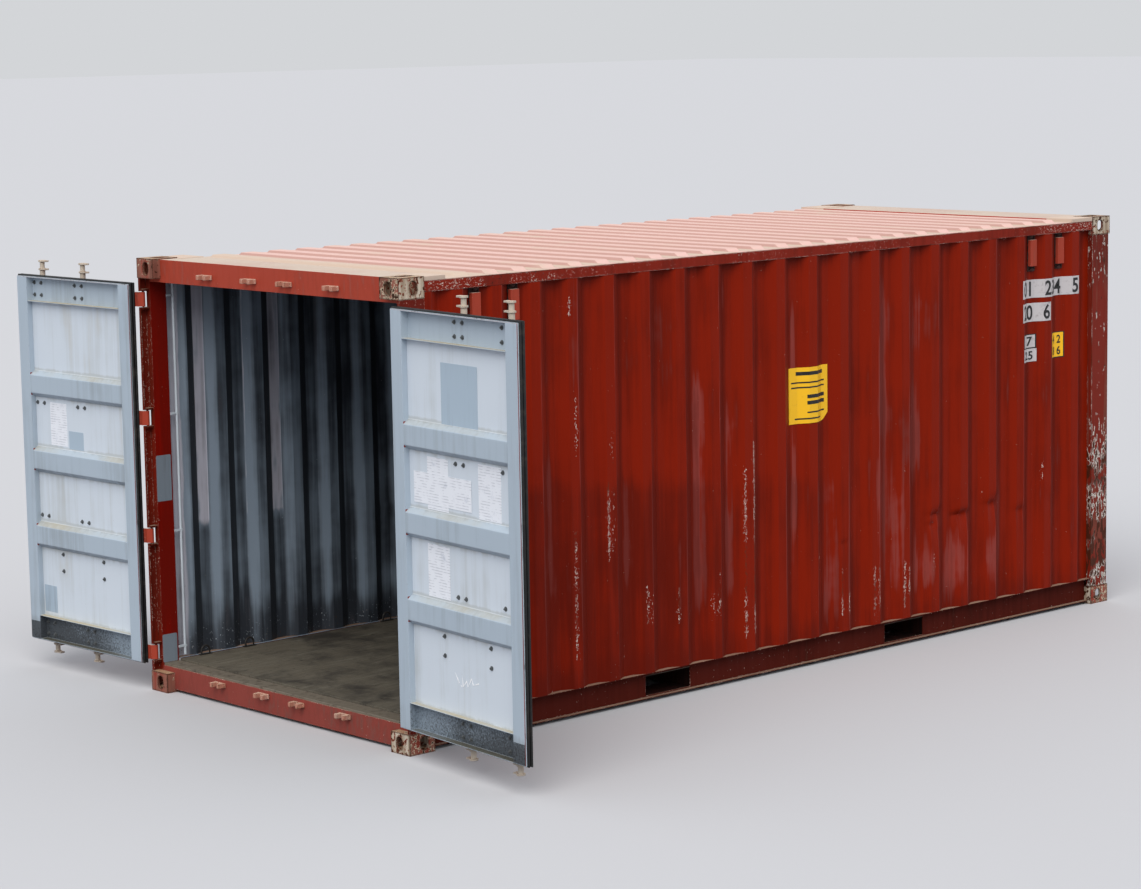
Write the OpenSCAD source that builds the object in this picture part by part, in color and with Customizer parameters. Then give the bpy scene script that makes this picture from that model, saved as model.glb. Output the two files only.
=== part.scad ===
// Twenty-foot general-purpose freight container, standing with both doors swung open.
// X runs along the length with the doors at -X, Y across it, Z up. Lengths are in mm.
// The origin is on the ground, midway between the four bottom twistlock apertures.
// "Left" is +Y and "right" is -Y.

/* [Container] */
// Length over the corner castings
container_l = 6058; // [5800:1:7000]
// Width over the corner castings
container_w = 2438; // [2300:1:2600]
// Height over the corner castings
container_h = 2591; // [2400:1:2896]

/* [Corner castings] */
// Casting size along the length
casting_l = 178; // [170:1:190]
// Casting size across the width
casting_w = 162; // [155:1:175]
// Casting height
casting_h = 118; // [112:1:126]
// Thickness of the casting's side walls
casting_wall = 14; // [12:1:18]
// Thickness of the plate that holds the twistlock aperture
aperture_t = 28; // [24:1:30]
// Distance from the end face to the aperture's centre
aperture_end = 102.5; // [98:0.5:106]
// Distance from the side face to the aperture's centre
aperture_side = 89.5; // [86:0.5:93]
// Twistlock aperture length, along X
slot_l = 124; // [120:0.5:126]
// Twistlock aperture width, across
slot_w = 63.5; // [60:0.5:66]
// Width of the upright lashing holes in the end and side faces
hole_w = 54; // [50:1:58]
// Height of those holes
hole_h = 76; // [70:1:80]

/* [Posts] */
// How far the post plates lie inside the castings' side faces
post_inset = 2; // [1:1:5]
// How far the lip of a rear post lies inside the end face
lip_inset = 4; // [3:1:8]
// Thickness of the outer post plate
post_t = 5; // [4:0.5:8]
// Width of the lip on a rear post
lip_w = 18; // [14:1:20]
// Thickness of the rear post's inner channel
channel_t = 12; // [8:1:13]
// Width of that channel along X
channel_w = 113; // [108:1:116]
// Distance from the side face to the channel's inner face
channel_in = 49; // [47:1:56]
// Width of the front post's end plate
front_post_w = 180; // [165:1:200]
// Thickness of the front post plates
front_post_t = 6; // [4:0.5:8]

/* [Door frame] */
// Recess of the header, the sill and the posts' channels behind the end face
frame_recess = 54; // [52:1:58]
// Height of the door header, from its underside to the castings' top
header_h = 141; // [125:1:180]
// Top of the door sill
sill_top = 150; // [145:1:155]
// Underside of the sills
sill_bottom = 17; // [13:1:20]
// Depth of the header along the length
header_d = 95; // [80:1:110]
// Thickness of the header and sill plates
frame_t = 6; // [4:0.5:6]
// Height of the threshold strip above the sill
threshold_h = 12; // [8:1:12]

/* [Door leaves] */
// Opening angle of the right door, degrees
open_right = 174.3; // [90:0.1:180]
// Opening angle of the left door, degrees
open_left = 178.2; // [90:0.1:180]
// Hinge pin's distance inside the end face
pin_end = 22; // [20:1:24]
// Hinge pin's distance inside the side face
pin_side = 24; // [23:1:26]
// Thickness of a leaf
leaf_t = 50; // [46:1:54]
// How far a closed leaf lies behind the header's face
leaf_step = 2; // [1:0.5:3]
// Height of a leaf's lower edge
leaf_z = 177; // [174:1:182]
// Gap between a leaf and the header
leaf_head = 16; // [14:1:20]
// Gap between a leaf's hinge edge and the post
leaf_side = 12; // [12:1:14]
// Gap between the two closed leaves
leaf_mid = 20; // [18:1:24]
// Width of a leaf's upright stiles
stile_w = 100; // [90:1:110]
// Height of a leaf's top and bottom channels
rail_h = 150; // [140:1:160]
// Wall thickness of the stiles and channels
leaf_wall = 3; // [2:0.5:4]
// Thickness of the leaf's sheet
sheet_t = 2; // [1.5:0.5:3]
// Depth of the pressed bands in that sheet
band_depth = 36; // [30:1:40]
// Height of a band's flat face
band_h = 110; // [90:1:120]
// Height of the slope beside a band
band_slope = 28; // [20:1:36]
// Distance between the bands
band_pitch = 470; // [430:1:500]
// How far the door gasket stands out from the leaf
gasket_out = 6; // [4:0.5:7]

/* [Hinges] */
// Height of a hinge blade
blade_h = 85; // [76:1:92]
// Thickness of a hinge blade
blade_t = 12; // [10:1:13]
// Lowest hinge's height above the leaf's lower edge
hinge_up = 54; // [50:1:80]
// Highest hinge's distance below the leaf's upper edge
hinge_down = 87; // [80:1:110]
// Length of a blade's strap on the leaf
strap_l = 76; // [60:1:90]
// Hinge pin radius
pin_r = 6.5; // [6:0.1:7]
// Knuckle radius
knuckle_r = 12; // [11.5:0.1:12]
// Gap between a blade and its lugs
lug_gap = 5.5; // [5:0.1:8]
// Thickness of a hinge lug
lug_t = 12; // [8:1:14]

/* [Lock bars] */
// Lock bar radius
bar_r = 17; // [15:0.5:17]
// Lock bar wall
bar_wall = 4; // [3:0.5:5]
// Outer bar's distance from the hinge edge of the leaf
bar_outer_d = 568; // [540:1:600]
// Inner bar's distance from the hinge edge of the leaf
bar_inner_d = 992; // [960:1:1010]
// Lowest brackets' height above the leaf's lower edge
bracket_up = 68; // [60:1:90]
// Highest brackets' distance below the leaf's upper edge
bracket_down = 74; // [60:1:90]
// Outer handle catch's distance from the hinge edge of the leaf
catch_outer_d = 395; // [370:1:420]
// Inner handle catch's distance from the hinge edge of the leaf
catch_inner_d = 820; // [790:1:850]
// Length of a handle beyond its bar
handle_l = 330; // [280:1:340]
// Height of the handles above the leaf's lower edge
handle_up = 501; // [480:1:520]
// Height of a keeper's claws
claw_h = 28; // [24:1:30]
// Distance from the header's underside to its keepers' middle
keeper_up = 53; // [50:1:60]
// Distance from the sill's top down to its keepers' middle
keeper_down = 33; // [32:1:36]

/* [Walls] */
// Distance between the side walls' waves
wave_pitch = 278.5; // [260:0.5:300]
// Depth of the side walls' waves
wave_depth = 36; // [30:1:38]
// Length of an outer flat of a side wall
wave_flat = 72; // [60:1:80]
// Length of a slope of a side wall
wave_slope = 68; // [60:1:75]
// How far the side walls lie inside the castings' side faces
wall_inset = 4; // [3:1:6]
// Wall sheet thickness
wall_t = 2; // [1.6:0.1:3]
// Depth of the front wall's waves
front_depth = 45.6; // [40:0.1:50]
// Number of waves in the front wall
front_waves = 8; // [6:1:9]

/* [Rails and roof] */
// Side of the square top side rails
top_rail = 60; // [55:1:65]
// Wall thickness of the top side rails
top_rail_t = 3; // [2.5:0.5:4]
// Distance from the castings' top to the top of those rails
top_rail_down = 26; // [22:1:30]
// Underside of the bottom side rails
rail_z0 = 20; // [16:1:24]
// Top of the bottom side rails
rail_z1 = 176; // [173:1:180]
// Distance from the side face to the bottom rail's web
web_in = 54; // [50:1:58]
// Bottom rail sheet thickness
rail_t = 4.5; // [4:0.5:6]
// How far the rear roof plate reaches beyond the castings
rear_plate_l = 151; // [120:1:180]
// How far the front roof plate reaches beyond the castings
front_plate_l = 211; // [180:1:240]
// Least flat margin between the last ridges and the roof plates
ridge_margin = 60; // [40:1:80]
// Distance between roof ridges
ridge_pitch = 209.5; // [205:0.5:212]
// Width of a ridge's top
ridge_top = 91; // [80:1:94]
// Height of a ridge
ridge_h = 18; // [14:1:19]
// Length of a ridge's slope
ridge_slope = 13.5; // [10:0.5:18]
// Width of the flat margin beside the ridges, up to the side face
ridge_side = 84; // [70:1:100]

/* [Base] */
// Thickness of the floor boards
floor_t = 28; // [24:1:30]
// Height of the cross members
member_h = 122; // [118:1:122]
// Distance of the fork pockets' middles from the container's middle
pocket_x = 1035; // [1000:1:1060]
// Clear width of a fork pocket
pocket_w = 360; // [350:1:370]
// Height of the opening in the rail
pocket_z1 = 150; // [145:1:155]
// Length of the plate that closes a fork pocket below, at each mouth
pocket_floor_l = 200; // [150:1:300]
// Distance from the rear castings to the first lashing ring
ring_rear = 171; // [150:1:200]
// Distance from the rear castings to the second lashing ring
ring_second = 499; // [450:1:550]
// Distance from the last lashing ring to the front castings
ring_front = 899; // [850:1:950]

/* [Hidden] */
$fn = 32;
end_x = container_l / 2;
side_y = container_w / 2;

// Places along the length
rear_in = -end_x + casting_l;
front_in = end_x - casting_l;
recess_x = -end_x + frame_recess;
channel_x1 = recess_x + channel_w;
front_face = end_x - 10;

// Places across the width
casting_in = side_y - casting_w;
channel_y = side_y - channel_in;
post_y = side_y - post_inset;
wall_y = side_y - wall_inset;
web_y = side_y - web_in;
front_post_in = side_y - front_post_w;

// Heights
casting_under = container_h - casting_h;
header_z = container_h - header_h;
threshold_z = sill_top + threshold_h;
floor_z0 = 22 + member_h;
floor_z1 = floor_z0 + floor_t;
rail_top_z = container_h - top_rail_down;
rail_under_z = rail_top_z - top_rail;
plate_top_z = container_h - 6;
plate_top_t = 4;

// Roof plates at the ends
rear_plate_x = rear_in + rear_plate_l;
front_plate_x = front_in - front_plate_l;
roof_plate_y = casting_in - 57;
roof_edge_y = side_y - 14;
ridge_room = 2 * (min(front_plate_x, -rear_plate_x) - ridge_margin);
ridge_n = floor((ridge_room - ridge_top - 2 * ridge_slope) / ridge_pitch) + 1;

// Hinge pin and leaf, the leaf's sizes measured from the pin of the left door when closed
pin_x = -end_x + pin_end;
pin_y = side_y - pin_side;
leaf_out = frame_recess + leaf_step - pin_end;
leaf_in = leaf_out + leaf_t;
leaf_hinge = -(pin_y - channel_y + leaf_side);
leaf_free = -(pin_y - leaf_mid / 2);
leaf_top = header_z - leaf_head;
leaf_mid_z = (leaf_z + leaf_top) / 2;
field_out = leaf_in - band_depth - sheet_t;
field_y0 = leaf_free + stile_w;
field_y1 = leaf_hinge - stile_w;
field_z0 = leaf_z + rail_h;
field_z1 = leaf_top - rail_h;
band_z = [for (k = [-1:1]) leaf_mid_z + k * band_pitch];

// Hinges
hinge_z0 = leaf_z + hinge_up;
hinge_z1 = leaf_top - hinge_down;
hinge_z = [for (k = [0:3]) hinge_z0 + k * (hinge_z1 - hinge_z0) / 3];
pin_fit = 0.1;
notch_h = blade_h + 2 * lug_gap;

// Lock bars and their fittings
bar_y = [leaf_hinge - bar_outer_d, leaf_hinge - bar_inner_d];
bracket_z0 = leaf_z + bracket_up;
bracket_z1 = leaf_top - bracket_down;
bracket_z = [for (k = [0:3]) bracket_z0 + k * (bracket_z1 - bracket_z0) / 3];
head_claw_z = header_z + keeper_up;
sill_claw_z = sill_top - keeper_down;
bracket_w = 110;
catch_w = 60;
cam_t = 10;
cam_gap = 6;
cam_ear = 50;
handle_z = leaf_z + handle_up;
handle_h = 30;
catch_y = [leaf_hinge - catch_outer_d, leaf_hinge - catch_inner_d];

// How far back a fitting on the leaf seats: on the sheet, or on a stile that it reaches over
function seat(y, half) =
    y - half > field_y0 && y + half < field_y1 ? field_out : leaf_out;

// Side wall waves, set out from the front end
wall_len = front_in - rear_in;
wave_x1 = front_in - 140;
wave_n = floor((wall_len - 140 - 190) / wave_pitch) + 1;
wave_in_flat = wave_pitch - wave_flat - 2 * wave_slope;
wave_x = [for (k = [0:wave_n - 1]) wave_x1 - (wave_n - 1 - k) * wave_pitch];
vent_x = [wave_x[0], wave_x[1], wave_x[wave_n - 3], wave_x[wave_n - 2]];

// Base
bay = -pocket_x - pocket_w / 2 - 4 - channel_x1;
mid_bay = 2 * (pocket_x - pocket_w / 2 - 4);
member_x = concat(
    [for (k = [1:5]) channel_x1 + k * bay / 6],
    [for (k = [1:5]) -mid_bay / 2 + k * mid_bay / 6],
    [for (k = [1:5]) -channel_x1 - k * bay / 6]);
ring_x0 = rear_in + ring_second;
ring_step = (front_in - ring_front - ring_x0) / 4;
ring_x = concat([rear_in + ring_rear], [for (k = [0:4]) ring_x0 + k * ring_step]);

// Mirrors its children to the right-hand side when side is negative
module to_side(side) {
    if (side < 0) mirror([0, 1, 0]) children();
    else children();
}

// Draws its children on both sides of the container
module both_sides() {
    for (side = [-1, 1]) to_side(side) children();
}

// Block given by its low and high corners
module block(lo, hi) {
    translate(lo) cube([hi[0] - lo[0], hi[1] - lo[1], hi[2] - lo[2]]);
}

// Stadium prism: long along X, centred, rising along Z
module stadium(len, wid, dep) {
    for (s = [-1, 1])
        translate([s * (len - wid) / 2, 0, 0]) cylinder(d = wid, h = dep);
    translate([-(len - wid) / 2, -wid / 2, 0]) cube([len - wid, wid, dep]);
}

// Hollow casting with its end face at x = 0, side face at y = 0 and aperture plate at z = 0
module casting() {
    difference() {
        cube([casting_l, casting_w, casting_h]);
        block([casting_wall, casting_wall, aperture_t],
            [casting_l - casting_wall, casting_w - casting_wall, casting_h - casting_wall]);
        translate([aperture_end, aperture_side, -1]) stadium(slot_l, slot_w, aperture_t + 2);
        translate([-1, aperture_side, casting_h / 2]) rotate([0, 90, 0])
            stadium(hole_h, hole_w, casting_wall + 2);
        translate([aperture_end, -1, casting_h / 2]) rotate([-90, 0, 0]) rotate([0, 0, 90])
            stadium(hole_h, hole_w, casting_wall + 2);
    }
}

// Two castings of one end, at the bottom or at the top
module casting_pair(rear, top) {
    both_sides() mirror([0, 1, 0]) translate([0, -side_y, 0]) {
        if (rear && !top) translate([-end_x, 0, 0]) casting();
        if (rear && top)
            translate([-end_x, 0, container_h]) mirror([0, 0, 1]) casting();
        if (!rear && !top) translate([end_x, 0, 0]) mirror([1, 0, 0]) casting();
        if (!rear && top)
            translate([end_x, 0, container_h]) mirror([1, 0, 0]) mirror([0, 0, 1]) casting();
    }
}

module rear_bottom_castings() {
    color("#a5432c") casting_pair(true, false);
}

module front_bottom_castings() {
    color("#8e3527") casting_pair(false, false);
}

module rear_top_castings() {
    color("#a8452c") casting_pair(true, true);
}

module front_top_castings() {
    color("#a8452c") casting_pair(false, true);
}

// Rear post: lip and side plate outside, channel inside, cut away at each hinge
module rear_post(side) {
    to_side(side) difference() {
        union() {
            block([-end_x + lip_inset, post_y - lip_w, casting_h],
                [-end_x + lip_inset + post_t, post_y, casting_under]);
            block([-end_x + lip_inset, post_y - post_t, casting_h],
                [rear_in, post_y, casting_under]);
            block([recess_x, channel_y, casting_h],
                [channel_x1, channel_y + channel_t, casting_under]);
            for (x = [recess_x, channel_x1 - channel_t])
                block([x, channel_y, casting_h],
                    [x + channel_t, post_y - post_t, casting_under]);
        }
        for (z = hinge_z) {
            block([-end_x, pin_y + knuckle_r, z - notch_h / 2],
                [recess_x + channel_t + 1, side_y, z + notch_h / 2]);
            block([-end_x, channel_y + channel_t, z - notch_h / 2],
                [pin_x, side_y, z + notch_h / 2]);
        }
    }
}

module rear_post_left() {
    color("#8a1f12") rear_post(1);
}

module rear_post_right() {
    color("#8a1f12") rear_post(-1);
}

// Lugs above and below each hinge blade, with the pin between them
module hinge_lugs() {
    color("#7c2a1c") both_sides() for (z = hinge_z) translate([pin_x, pin_y, z]) {
        for (s = [-1, 1])
            translate([0, 0, s * (notch_h + lug_t) / 2 - lug_t / 2])
                block([-(pin_end - lip_inset - post_t), -16, 0],
                    [frame_recess - pin_end, pin_side - post_inset - post_t, lug_t]);
        translate([0, 0, -notch_h / 2 - 1]) cylinder(r = pin_r, h = notch_h + 2);
    }
}

// Header: face plate, underside, inner web and roof plate
module door_header() {
    color("#b04a3a") union() {
        block([recess_x, -casting_in, header_z], [recess_x + frame_t, casting_in, plate_top_z]);
        block([recess_x, -channel_y, header_z], [recess_x + frame_t, channel_y, casting_under]);
        block([recess_x, -channel_y, header_z], [recess_x + header_d, channel_y, header_z + frame_t]);
        block([recess_x + header_d - frame_t, -casting_in, header_z],
            [recess_x + header_d, casting_in, plate_top_z]);
        block([recess_x, -casting_in, plate_top_z - plate_top_t], [rear_in, casting_in, plate_top_z]);
        block([recess_x, -roof_plate_y, plate_top_z - plate_top_t],
            [rear_plate_x, roof_plate_y, plate_top_z]);
        block([rear_plate_x - plate_top_t, -roof_plate_y, rail_top_z],
            [rear_plate_x, roof_plate_y, plate_top_z]);
    }
}

// Sill: face plate, top and bottom flanges and inner web
module door_sill() {
    color("#a5463c") union() {
        block([recess_x, -casting_in, sill_bottom], [recess_x + frame_t, casting_in, sill_top]);
        block([recess_x, -channel_y, casting_h], [recess_x + frame_t, channel_y, sill_top]);
        block([recess_x, -channel_y, sill_top - frame_t], [channel_x1, channel_y, sill_top]);
        block([recess_x, -casting_in, sill_bottom],
            [recess_x + 60, casting_in, sill_bottom + frame_t]);
        block([channel_x1 - frame_t, -casting_in, sill_bottom + 5],
            [channel_x1, casting_in, sill_top]);
    }
}

module threshold_strip() {
    color("#6f5f52")
        block([recess_x + 6, -channel_y, sill_top], [channel_x1, channel_y, threshold_z]);
}

// Front post: side plate, end plate and two return flanges
module front_post(side) {
    to_side(side) union() {
        block([front_in, post_y - front_post_t, casting_h], [front_face, post_y, casting_under]);
        block([front_face - front_post_t, front_post_in, casting_h],
            [front_face, post_y, casting_under]);
        block([front_in, wall_y - wave_depth - wall_t, casting_h],
            [front_in + front_post_t, post_y, casting_under]);
        block([front_face - 50, front_post_in, casting_h],
            [front_face, front_post_in + front_post_t, casting_under]);
    }
}

module front_post_left() {
    color("#8a2f22") front_post(1);
}

module front_post_right() {
    color("#8a2f22") front_post(-1);
}

module front_header() {
    color("#9c4234") union() {
        block([front_face - frame_t, -casting_in, casting_under],
            [front_face, casting_in, plate_top_z]);
        block([front_face - 60, -casting_in, casting_under],
            [front_face, casting_in, casting_under + frame_t]);
        block([front_in, -casting_in, plate_top_z - plate_top_t],
            [front_face, casting_in, plate_top_z]);
        block([front_plate_x, -roof_plate_y, plate_top_z - plate_top_t],
            [front_face, roof_plate_y, plate_top_z]);
        block([front_plate_x, -roof_plate_y, rail_top_z],
            [front_plate_x + plate_top_t, roof_plate_y, plate_top_z]);
    }
}

module front_sill() {
    color("#7c2a20") union() {
        block([front_face - frame_t, -casting_in, sill_bottom],
            [front_face, casting_in, casting_h]);
        block([front_face - frame_t, -front_post_in, sill_bottom],
            [front_face, front_post_in, sill_top]);
        block([front_face - 60, -front_post_in, sill_top - frame_t],
            [front_face, front_post_in, sill_top]);
        block([front_face - 60, -casting_in, sill_bottom],
            [front_face, casting_in, sill_bottom + frame_t]);
    }
}

// Outer line of the front wall as [y, x] points, from one post to the other
front_pitch = (2 * front_post_in - 110) / front_waves;
front_line = concat([[-front_post_in, front_face - 2]],
    [for (k = [0:front_waves - 1]) each let (y = -front_post_in + 110 + k * front_pitch) [
        [y, front_face - 2], [y + 18, front_face - 2 - front_depth],
        [y + front_pitch - 128, front_face - 2 - front_depth],
        [y + front_pitch - 110, front_face - 2]]],
    [[front_post_in, front_face - 2]]);

// Back of a line of points, moved by d along its second coordinate and reversed
function back_line(line, d) =
    [for (k = [len(line) - 1:-1:0]) [line[k][0], line[k][1] + d]];

module front_wall() {
    color("#7d8790") translate([0, 0, sill_top])
        linear_extrude(height = casting_under - sill_top)
            polygon([for (p = concat(front_line, back_line(front_line, -wall_t))) [p[1], p[0]]]);
}

// Outer line of the left side wall as [x, y] points, from the rear post to the front post
wall_line = concat(
    [[rear_in, wall_y], [wave_x[0] - wave_pitch + 58, wall_y],
        [wave_x[0] - wave_pitch + 58 + wave_slope, wall_y - wave_depth]],
    [for (x = wave_x) each [[x - wave_flat - wave_slope, wall_y - wave_depth],
        [x - wave_flat, wall_y], [x, wall_y], [x + wave_slope, wall_y - wave_depth]]],
    [[front_in, wall_y - wave_depth]]);

module side_wall(side) {
    to_side(side) translate([0, 0, rail_z1])
        linear_extrude(height = rail_under_z - rail_z1)
            polygon(concat(wall_line, back_line(wall_line, -wall_t)));
}

module side_wall_left() {
    color("#7a8794") side_wall(1);
}

module side_wall_right() {
    color("#7a1f14") side_wall(-1);
}

module top_side_rails() {
    color("#9a3a2c") both_sides() difference() {
        block([rear_in, wall_y - top_rail, rail_under_z], [front_in, wall_y, rail_top_z]);
        block([rear_in - 1, wall_y - top_rail + top_rail_t, rail_under_z + top_rail_t],
            [front_in + 1, wall_y - top_rail_t, rail_top_z - top_rail_t]);
    }
}

// Bottom rail: channel opening outwards, with two fork pocket openings in its web
module bottom_rail(side) {
    to_side(side) difference() {
        union() {
            block([rear_in, web_y - rail_t, rail_z0], [front_in, web_y, rail_z1]);
            block([rear_in, web_y - rail_t, rail_z1 - rail_t], [front_in, web_y + 50, rail_z1]);
            block([rear_in, web_y - rail_t, rail_z0], [front_in, web_y + 30, rail_z0 + rail_t]);
        }
        for (s = [-1, 1])
            block([s * pocket_x - pocket_w / 2, web_y - rail_t - 1, 32],
                [s * pocket_x + pocket_w / 2, web_y + 1, pocket_z1]);
    }
}

module bottom_rail_left() {
    color("#6d2018") bottom_rail(1);
}

module bottom_rail_right() {
    color("#6d2018") bottom_rail(-1);
}

// Top line of the roof as [x, z] points
roof_line = concat([[rear_plate_x, rail_top_z + wall_t]],
    [for (k = [0:ridge_n - 1]) each let (x = (k - (ridge_n - 1) / 2) * ridge_pitch) [
        [x - ridge_top / 2 - ridge_slope, rail_top_z + wall_t],
        [x - ridge_top / 2, rail_top_z + wall_t + ridge_h],
        [x + ridge_top / 2, rail_top_z + wall_t + ridge_h],
        [x + ridge_top / 2 + ridge_slope, rail_top_z + wall_t]]],
    [[front_plate_x, rail_top_z + wall_t]]);
roof_closed = concat(roof_line, [[front_plate_x, rail_top_z], [rear_plate_x, rail_top_z]]);

// Pressed sheet, closed at the ridge ends, with a flat margin on each rail
module roof_sheet() {
    ridge_end = side_y - ridge_side;
    color("#cf8f80") union() {
        translate([0, ridge_end, 0]) rotate([90, 0, 0]) linear_extrude(height = 2 * ridge_end)
            polygon(concat(roof_line, back_line(roof_line, -wall_t)));
        for (s = [-1, 1]) {
            translate([0, s > 0 ? ridge_end : -ridge_end + wall_t, 0]) rotate([90, 0, 0])
                linear_extrude(height = wall_t) polygon(roof_closed);
            translate([0, s > 0 ? 0 : -roof_edge_y - ridge_end, 0])
                block([rear_plate_x, ridge_end, rail_top_z],
                    [front_plate_x, roof_edge_y, rail_top_z + wall_t]);
        }
    }
}

// Raised plates at the four roof corners, open below
module roof_corner_plates() {
    color("#b98a74") both_sides() for (span = [[rear_in, rear_plate_x], [front_plate_x, front_in]])
        difference() {
            block([span[0], roof_plate_y, rail_top_z], [span[1], wall_y, container_h - 2]);
            block([span[0] + plate_top_t, roof_plate_y + plate_top_t, rail_top_z - 1],
                [span[1] - plate_top_t, wall_y - plate_top_t, container_h - 2 - plate_top_t]);
        }
}

module floor_boards() {
    color("#6f6852") block([channel_x1, -web_y + rail_t, floor_z0],
        [front_face - 60, web_y - rail_t, floor_z1]);
}

// Cross members: channels with their webs upright
module cross_members() {
    color("#5c2018") for (x = member_x) translate([x, 0, 22]) difference() {
        block([-22.5, -web_y + rail_t, 0], [22.5, web_y - rail_t, member_h]);
        block([-18.5, -web_y + rail_t - 1, 4], [23.5, web_y - rail_t + 1, member_h - 4]);
    }
}

// Fork pocket: a tunnel under the floor, closed below only near its mouths
module fork_pocket(x) {
    half = pocket_w / 2;
    reach = web_y - rail_t;
    translate([x, 0, 22]) union() {
        block([-half - 4, -reach, member_h - 3], [half + 4, reach, member_h]);
        block([-half - 4, -reach, 0], [-half, reach, member_h]);
        block([half, -reach, 0], [half + 4, reach, member_h]);
        for (s = [-1, 1])
            block([-half - 4, s > 0 ? reach - pocket_floor_l : -reach, 0],
                [half + 4, s > 0 ? reach : -reach + pocket_floor_l, 6]);
    }
}

module rear_fork_pocket() {
    color("#4c1c16") fork_pocket(-pocket_x);
}

module front_fork_pocket() {
    color("#4c1c16") fork_pocket(pocket_x);
}

// Ventilators: sealed plate with a hooded box, high on an inner flat of each side wall
module ventilators() {
    y = wall_y - wave_depth;
    z = rail_under_z - 105;
    color("#8c2a1e") both_sides() for (x = vent_x)
        translate([x + wave_slope + wave_in_flat / 2, 0, z]) union() {
            block([-33, y, -125], [33, y + 4, 100]);
            block([-31, y, -95], [31, y + 28, 75]);
        }
}

// Lashing rings standing at the floor's edges
module lashing_rings() {
    y = web_y - rail_t - 10;
    color("#55585a") both_sides() for (x = ring_x) translate([x, y, floor_z1]) union() {
        block([-45, -10, 0], [45, 10, 6]);
        for (s = [-1, 1]) translate([s * 30, 0, 0]) cylinder(r = 6, h = 55);
        translate([-36, 0, 55]) rotate([0, 90, 0]) cylinder(r = 6, h = 72);
    }
}

// Lashing rods behind the rear posts, held by four clips each
module lashing_rods() {
    x = channel_x1 + 47;
    color("#9aa6b0") both_sides() union() {
        translate([x, channel_y, floor_z1 + 20]) cylinder(r = 8, h = header_z - floor_z1 - 40);
        for (z = bracket_z)
            block([channel_x1, channel_y - 6, z - 6], [x + 12, channel_y + 6, z + 6]);
    }
}

// Keeper with its middle at y = 0, z = 0, standing out from a face at x = 0 towards -X
module keeper() {
    reach = frame_recess - 6;
    block([-10, -52, -claw_h / 2], [0, 52, claw_h / 2]);
    for (s = [-1, 1]) translate([0, s > 0 ? 21 : -45, 0])
        block([-reach, 0, -claw_h / 2], [0, 24, claw_h / 2]);
}

module keepers(z) {
    both_sides() for (y = bar_y) translate([recess_x, pin_y + y, z]) union() keeper();
}

module header_keepers() {
    color("#c9a08a") keepers(head_claw_z);
}

module sill_keepers() {
    color("#c9a08a") keepers(sill_claw_z);
}

// Swings a left door leaf, drawn closed about its pin, to its standing angle
module on_door(side) {
    to_side(side) translate([pin_x, pin_y, 0])
        rotate([0, 0, side < 0 ? -open_right : -open_left]) children();
}

// Leaf frame: two hollow stiles, and top and bottom channels open to the inside
module door_frame(side) {
    on_door(side) union() {
        for (y = [leaf_free, leaf_hinge - stile_w]) difference() {
            block([leaf_out, y, leaf_z], [leaf_in, y + stile_w, leaf_top]);
            block([leaf_out + leaf_wall, y + leaf_wall, leaf_z + leaf_wall],
                [leaf_in - leaf_wall, y + stile_w - leaf_wall, leaf_top - leaf_wall]);
        }
        for (z = [leaf_z, leaf_top - rail_h]) {
            block([leaf_out, field_y0, z], [leaf_out + leaf_wall, field_y1, z + rail_h]);
            block([leaf_out, field_y0, z], [leaf_in, field_y1, z + leaf_wall]);
            block([leaf_out, field_y0, z + rail_h - leaf_wall], [leaf_in, field_y1, z + rail_h]);
        }
    }
}

// Inner line of the leaf's sheet as [z, x] points
band_line = concat([[field_z0, leaf_in - band_depth]],
    [for (z = band_z) each [
        [z - band_h / 2 - band_slope, leaf_in - band_depth], [z - band_h / 2, leaf_in],
        [z + band_h / 2, leaf_in], [z + band_h / 2 + band_slope, leaf_in - band_depth]]],
    [[field_z1, leaf_in - band_depth]]);

module door_panel(side) {
    on_door(side) translate([0, field_y1, 0]) rotate([90, 0, 0])
        linear_extrude(height = field_y1 - field_y0)
            polygon([for (p = concat(band_line, back_line(band_line, -sheet_t))) [p[1], p[0]]]);
}

module door_gasket(side) {
    on_door(side) difference() {
        block([leaf_out + 8, leaf_free - gasket_out, leaf_z - gasket_out],
            [leaf_in - 8, leaf_hinge + gasket_out, leaf_top + gasket_out]);
        block([leaf_out, leaf_free, leaf_z], [leaf_in, leaf_hinge, leaf_top]);
    }
}

// Hinge blades: a strap on the leaf's outer face, necked to a knuckle round the pin
module door_hinges(side) {
    strap = leaf_out - blade_t;
    on_door(side) for (z = hinge_z) translate([0, 0, z - blade_h / 2]) difference() {
        union() {
            cylinder(r = knuckle_r, h = blade_h);
            linear_extrude(height = blade_h) polygon([
                [strap, leaf_hinge - strap_l], [leaf_out, leaf_hinge - strap_l], [leaf_out, leaf_hinge],
                [leaf_out - 7, leaf_hinge + 6], [leaf_out - 7, -13], [8.5, 8.5],
                [-8.5, -8.5], [strap - 5, leaf_hinge + 3], [strap, leaf_hinge - 3]]);
        }
        translate([0, 0, -1]) cylinder(r = pin_r + pin_fit, h = blade_h + 2);
    }
}

// Bar bracket: base on the leaf, ring round the bar
module bar_bracket(base) {
    difference() {
        union() {
            block([leaf_out - 8, -bracket_w / 2, -24], [base, bracket_w / 2, 24]);
            block([0, -bar_r - 6, -18], [leaf_out, bar_r + 6, 18]);
            translate([0, 0, -18]) cylinder(r = bar_r + 6, h = 36);
        }
        translate([0, 0, -25]) cylinder(r = bar_r + 0.5, h = 50);
    }
}

// Catch: base on the leaf with a shelf under the handle
module handle_catch(base) {
    union() {
        block([leaf_out - 4, -catch_w / 2, -52], [base, catch_w / 2, 52]);
        block([-18, -20, -handle_h / 2 - 18], [leaf_out, 20, -handle_h / 2 - 7]);
    }
}

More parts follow.
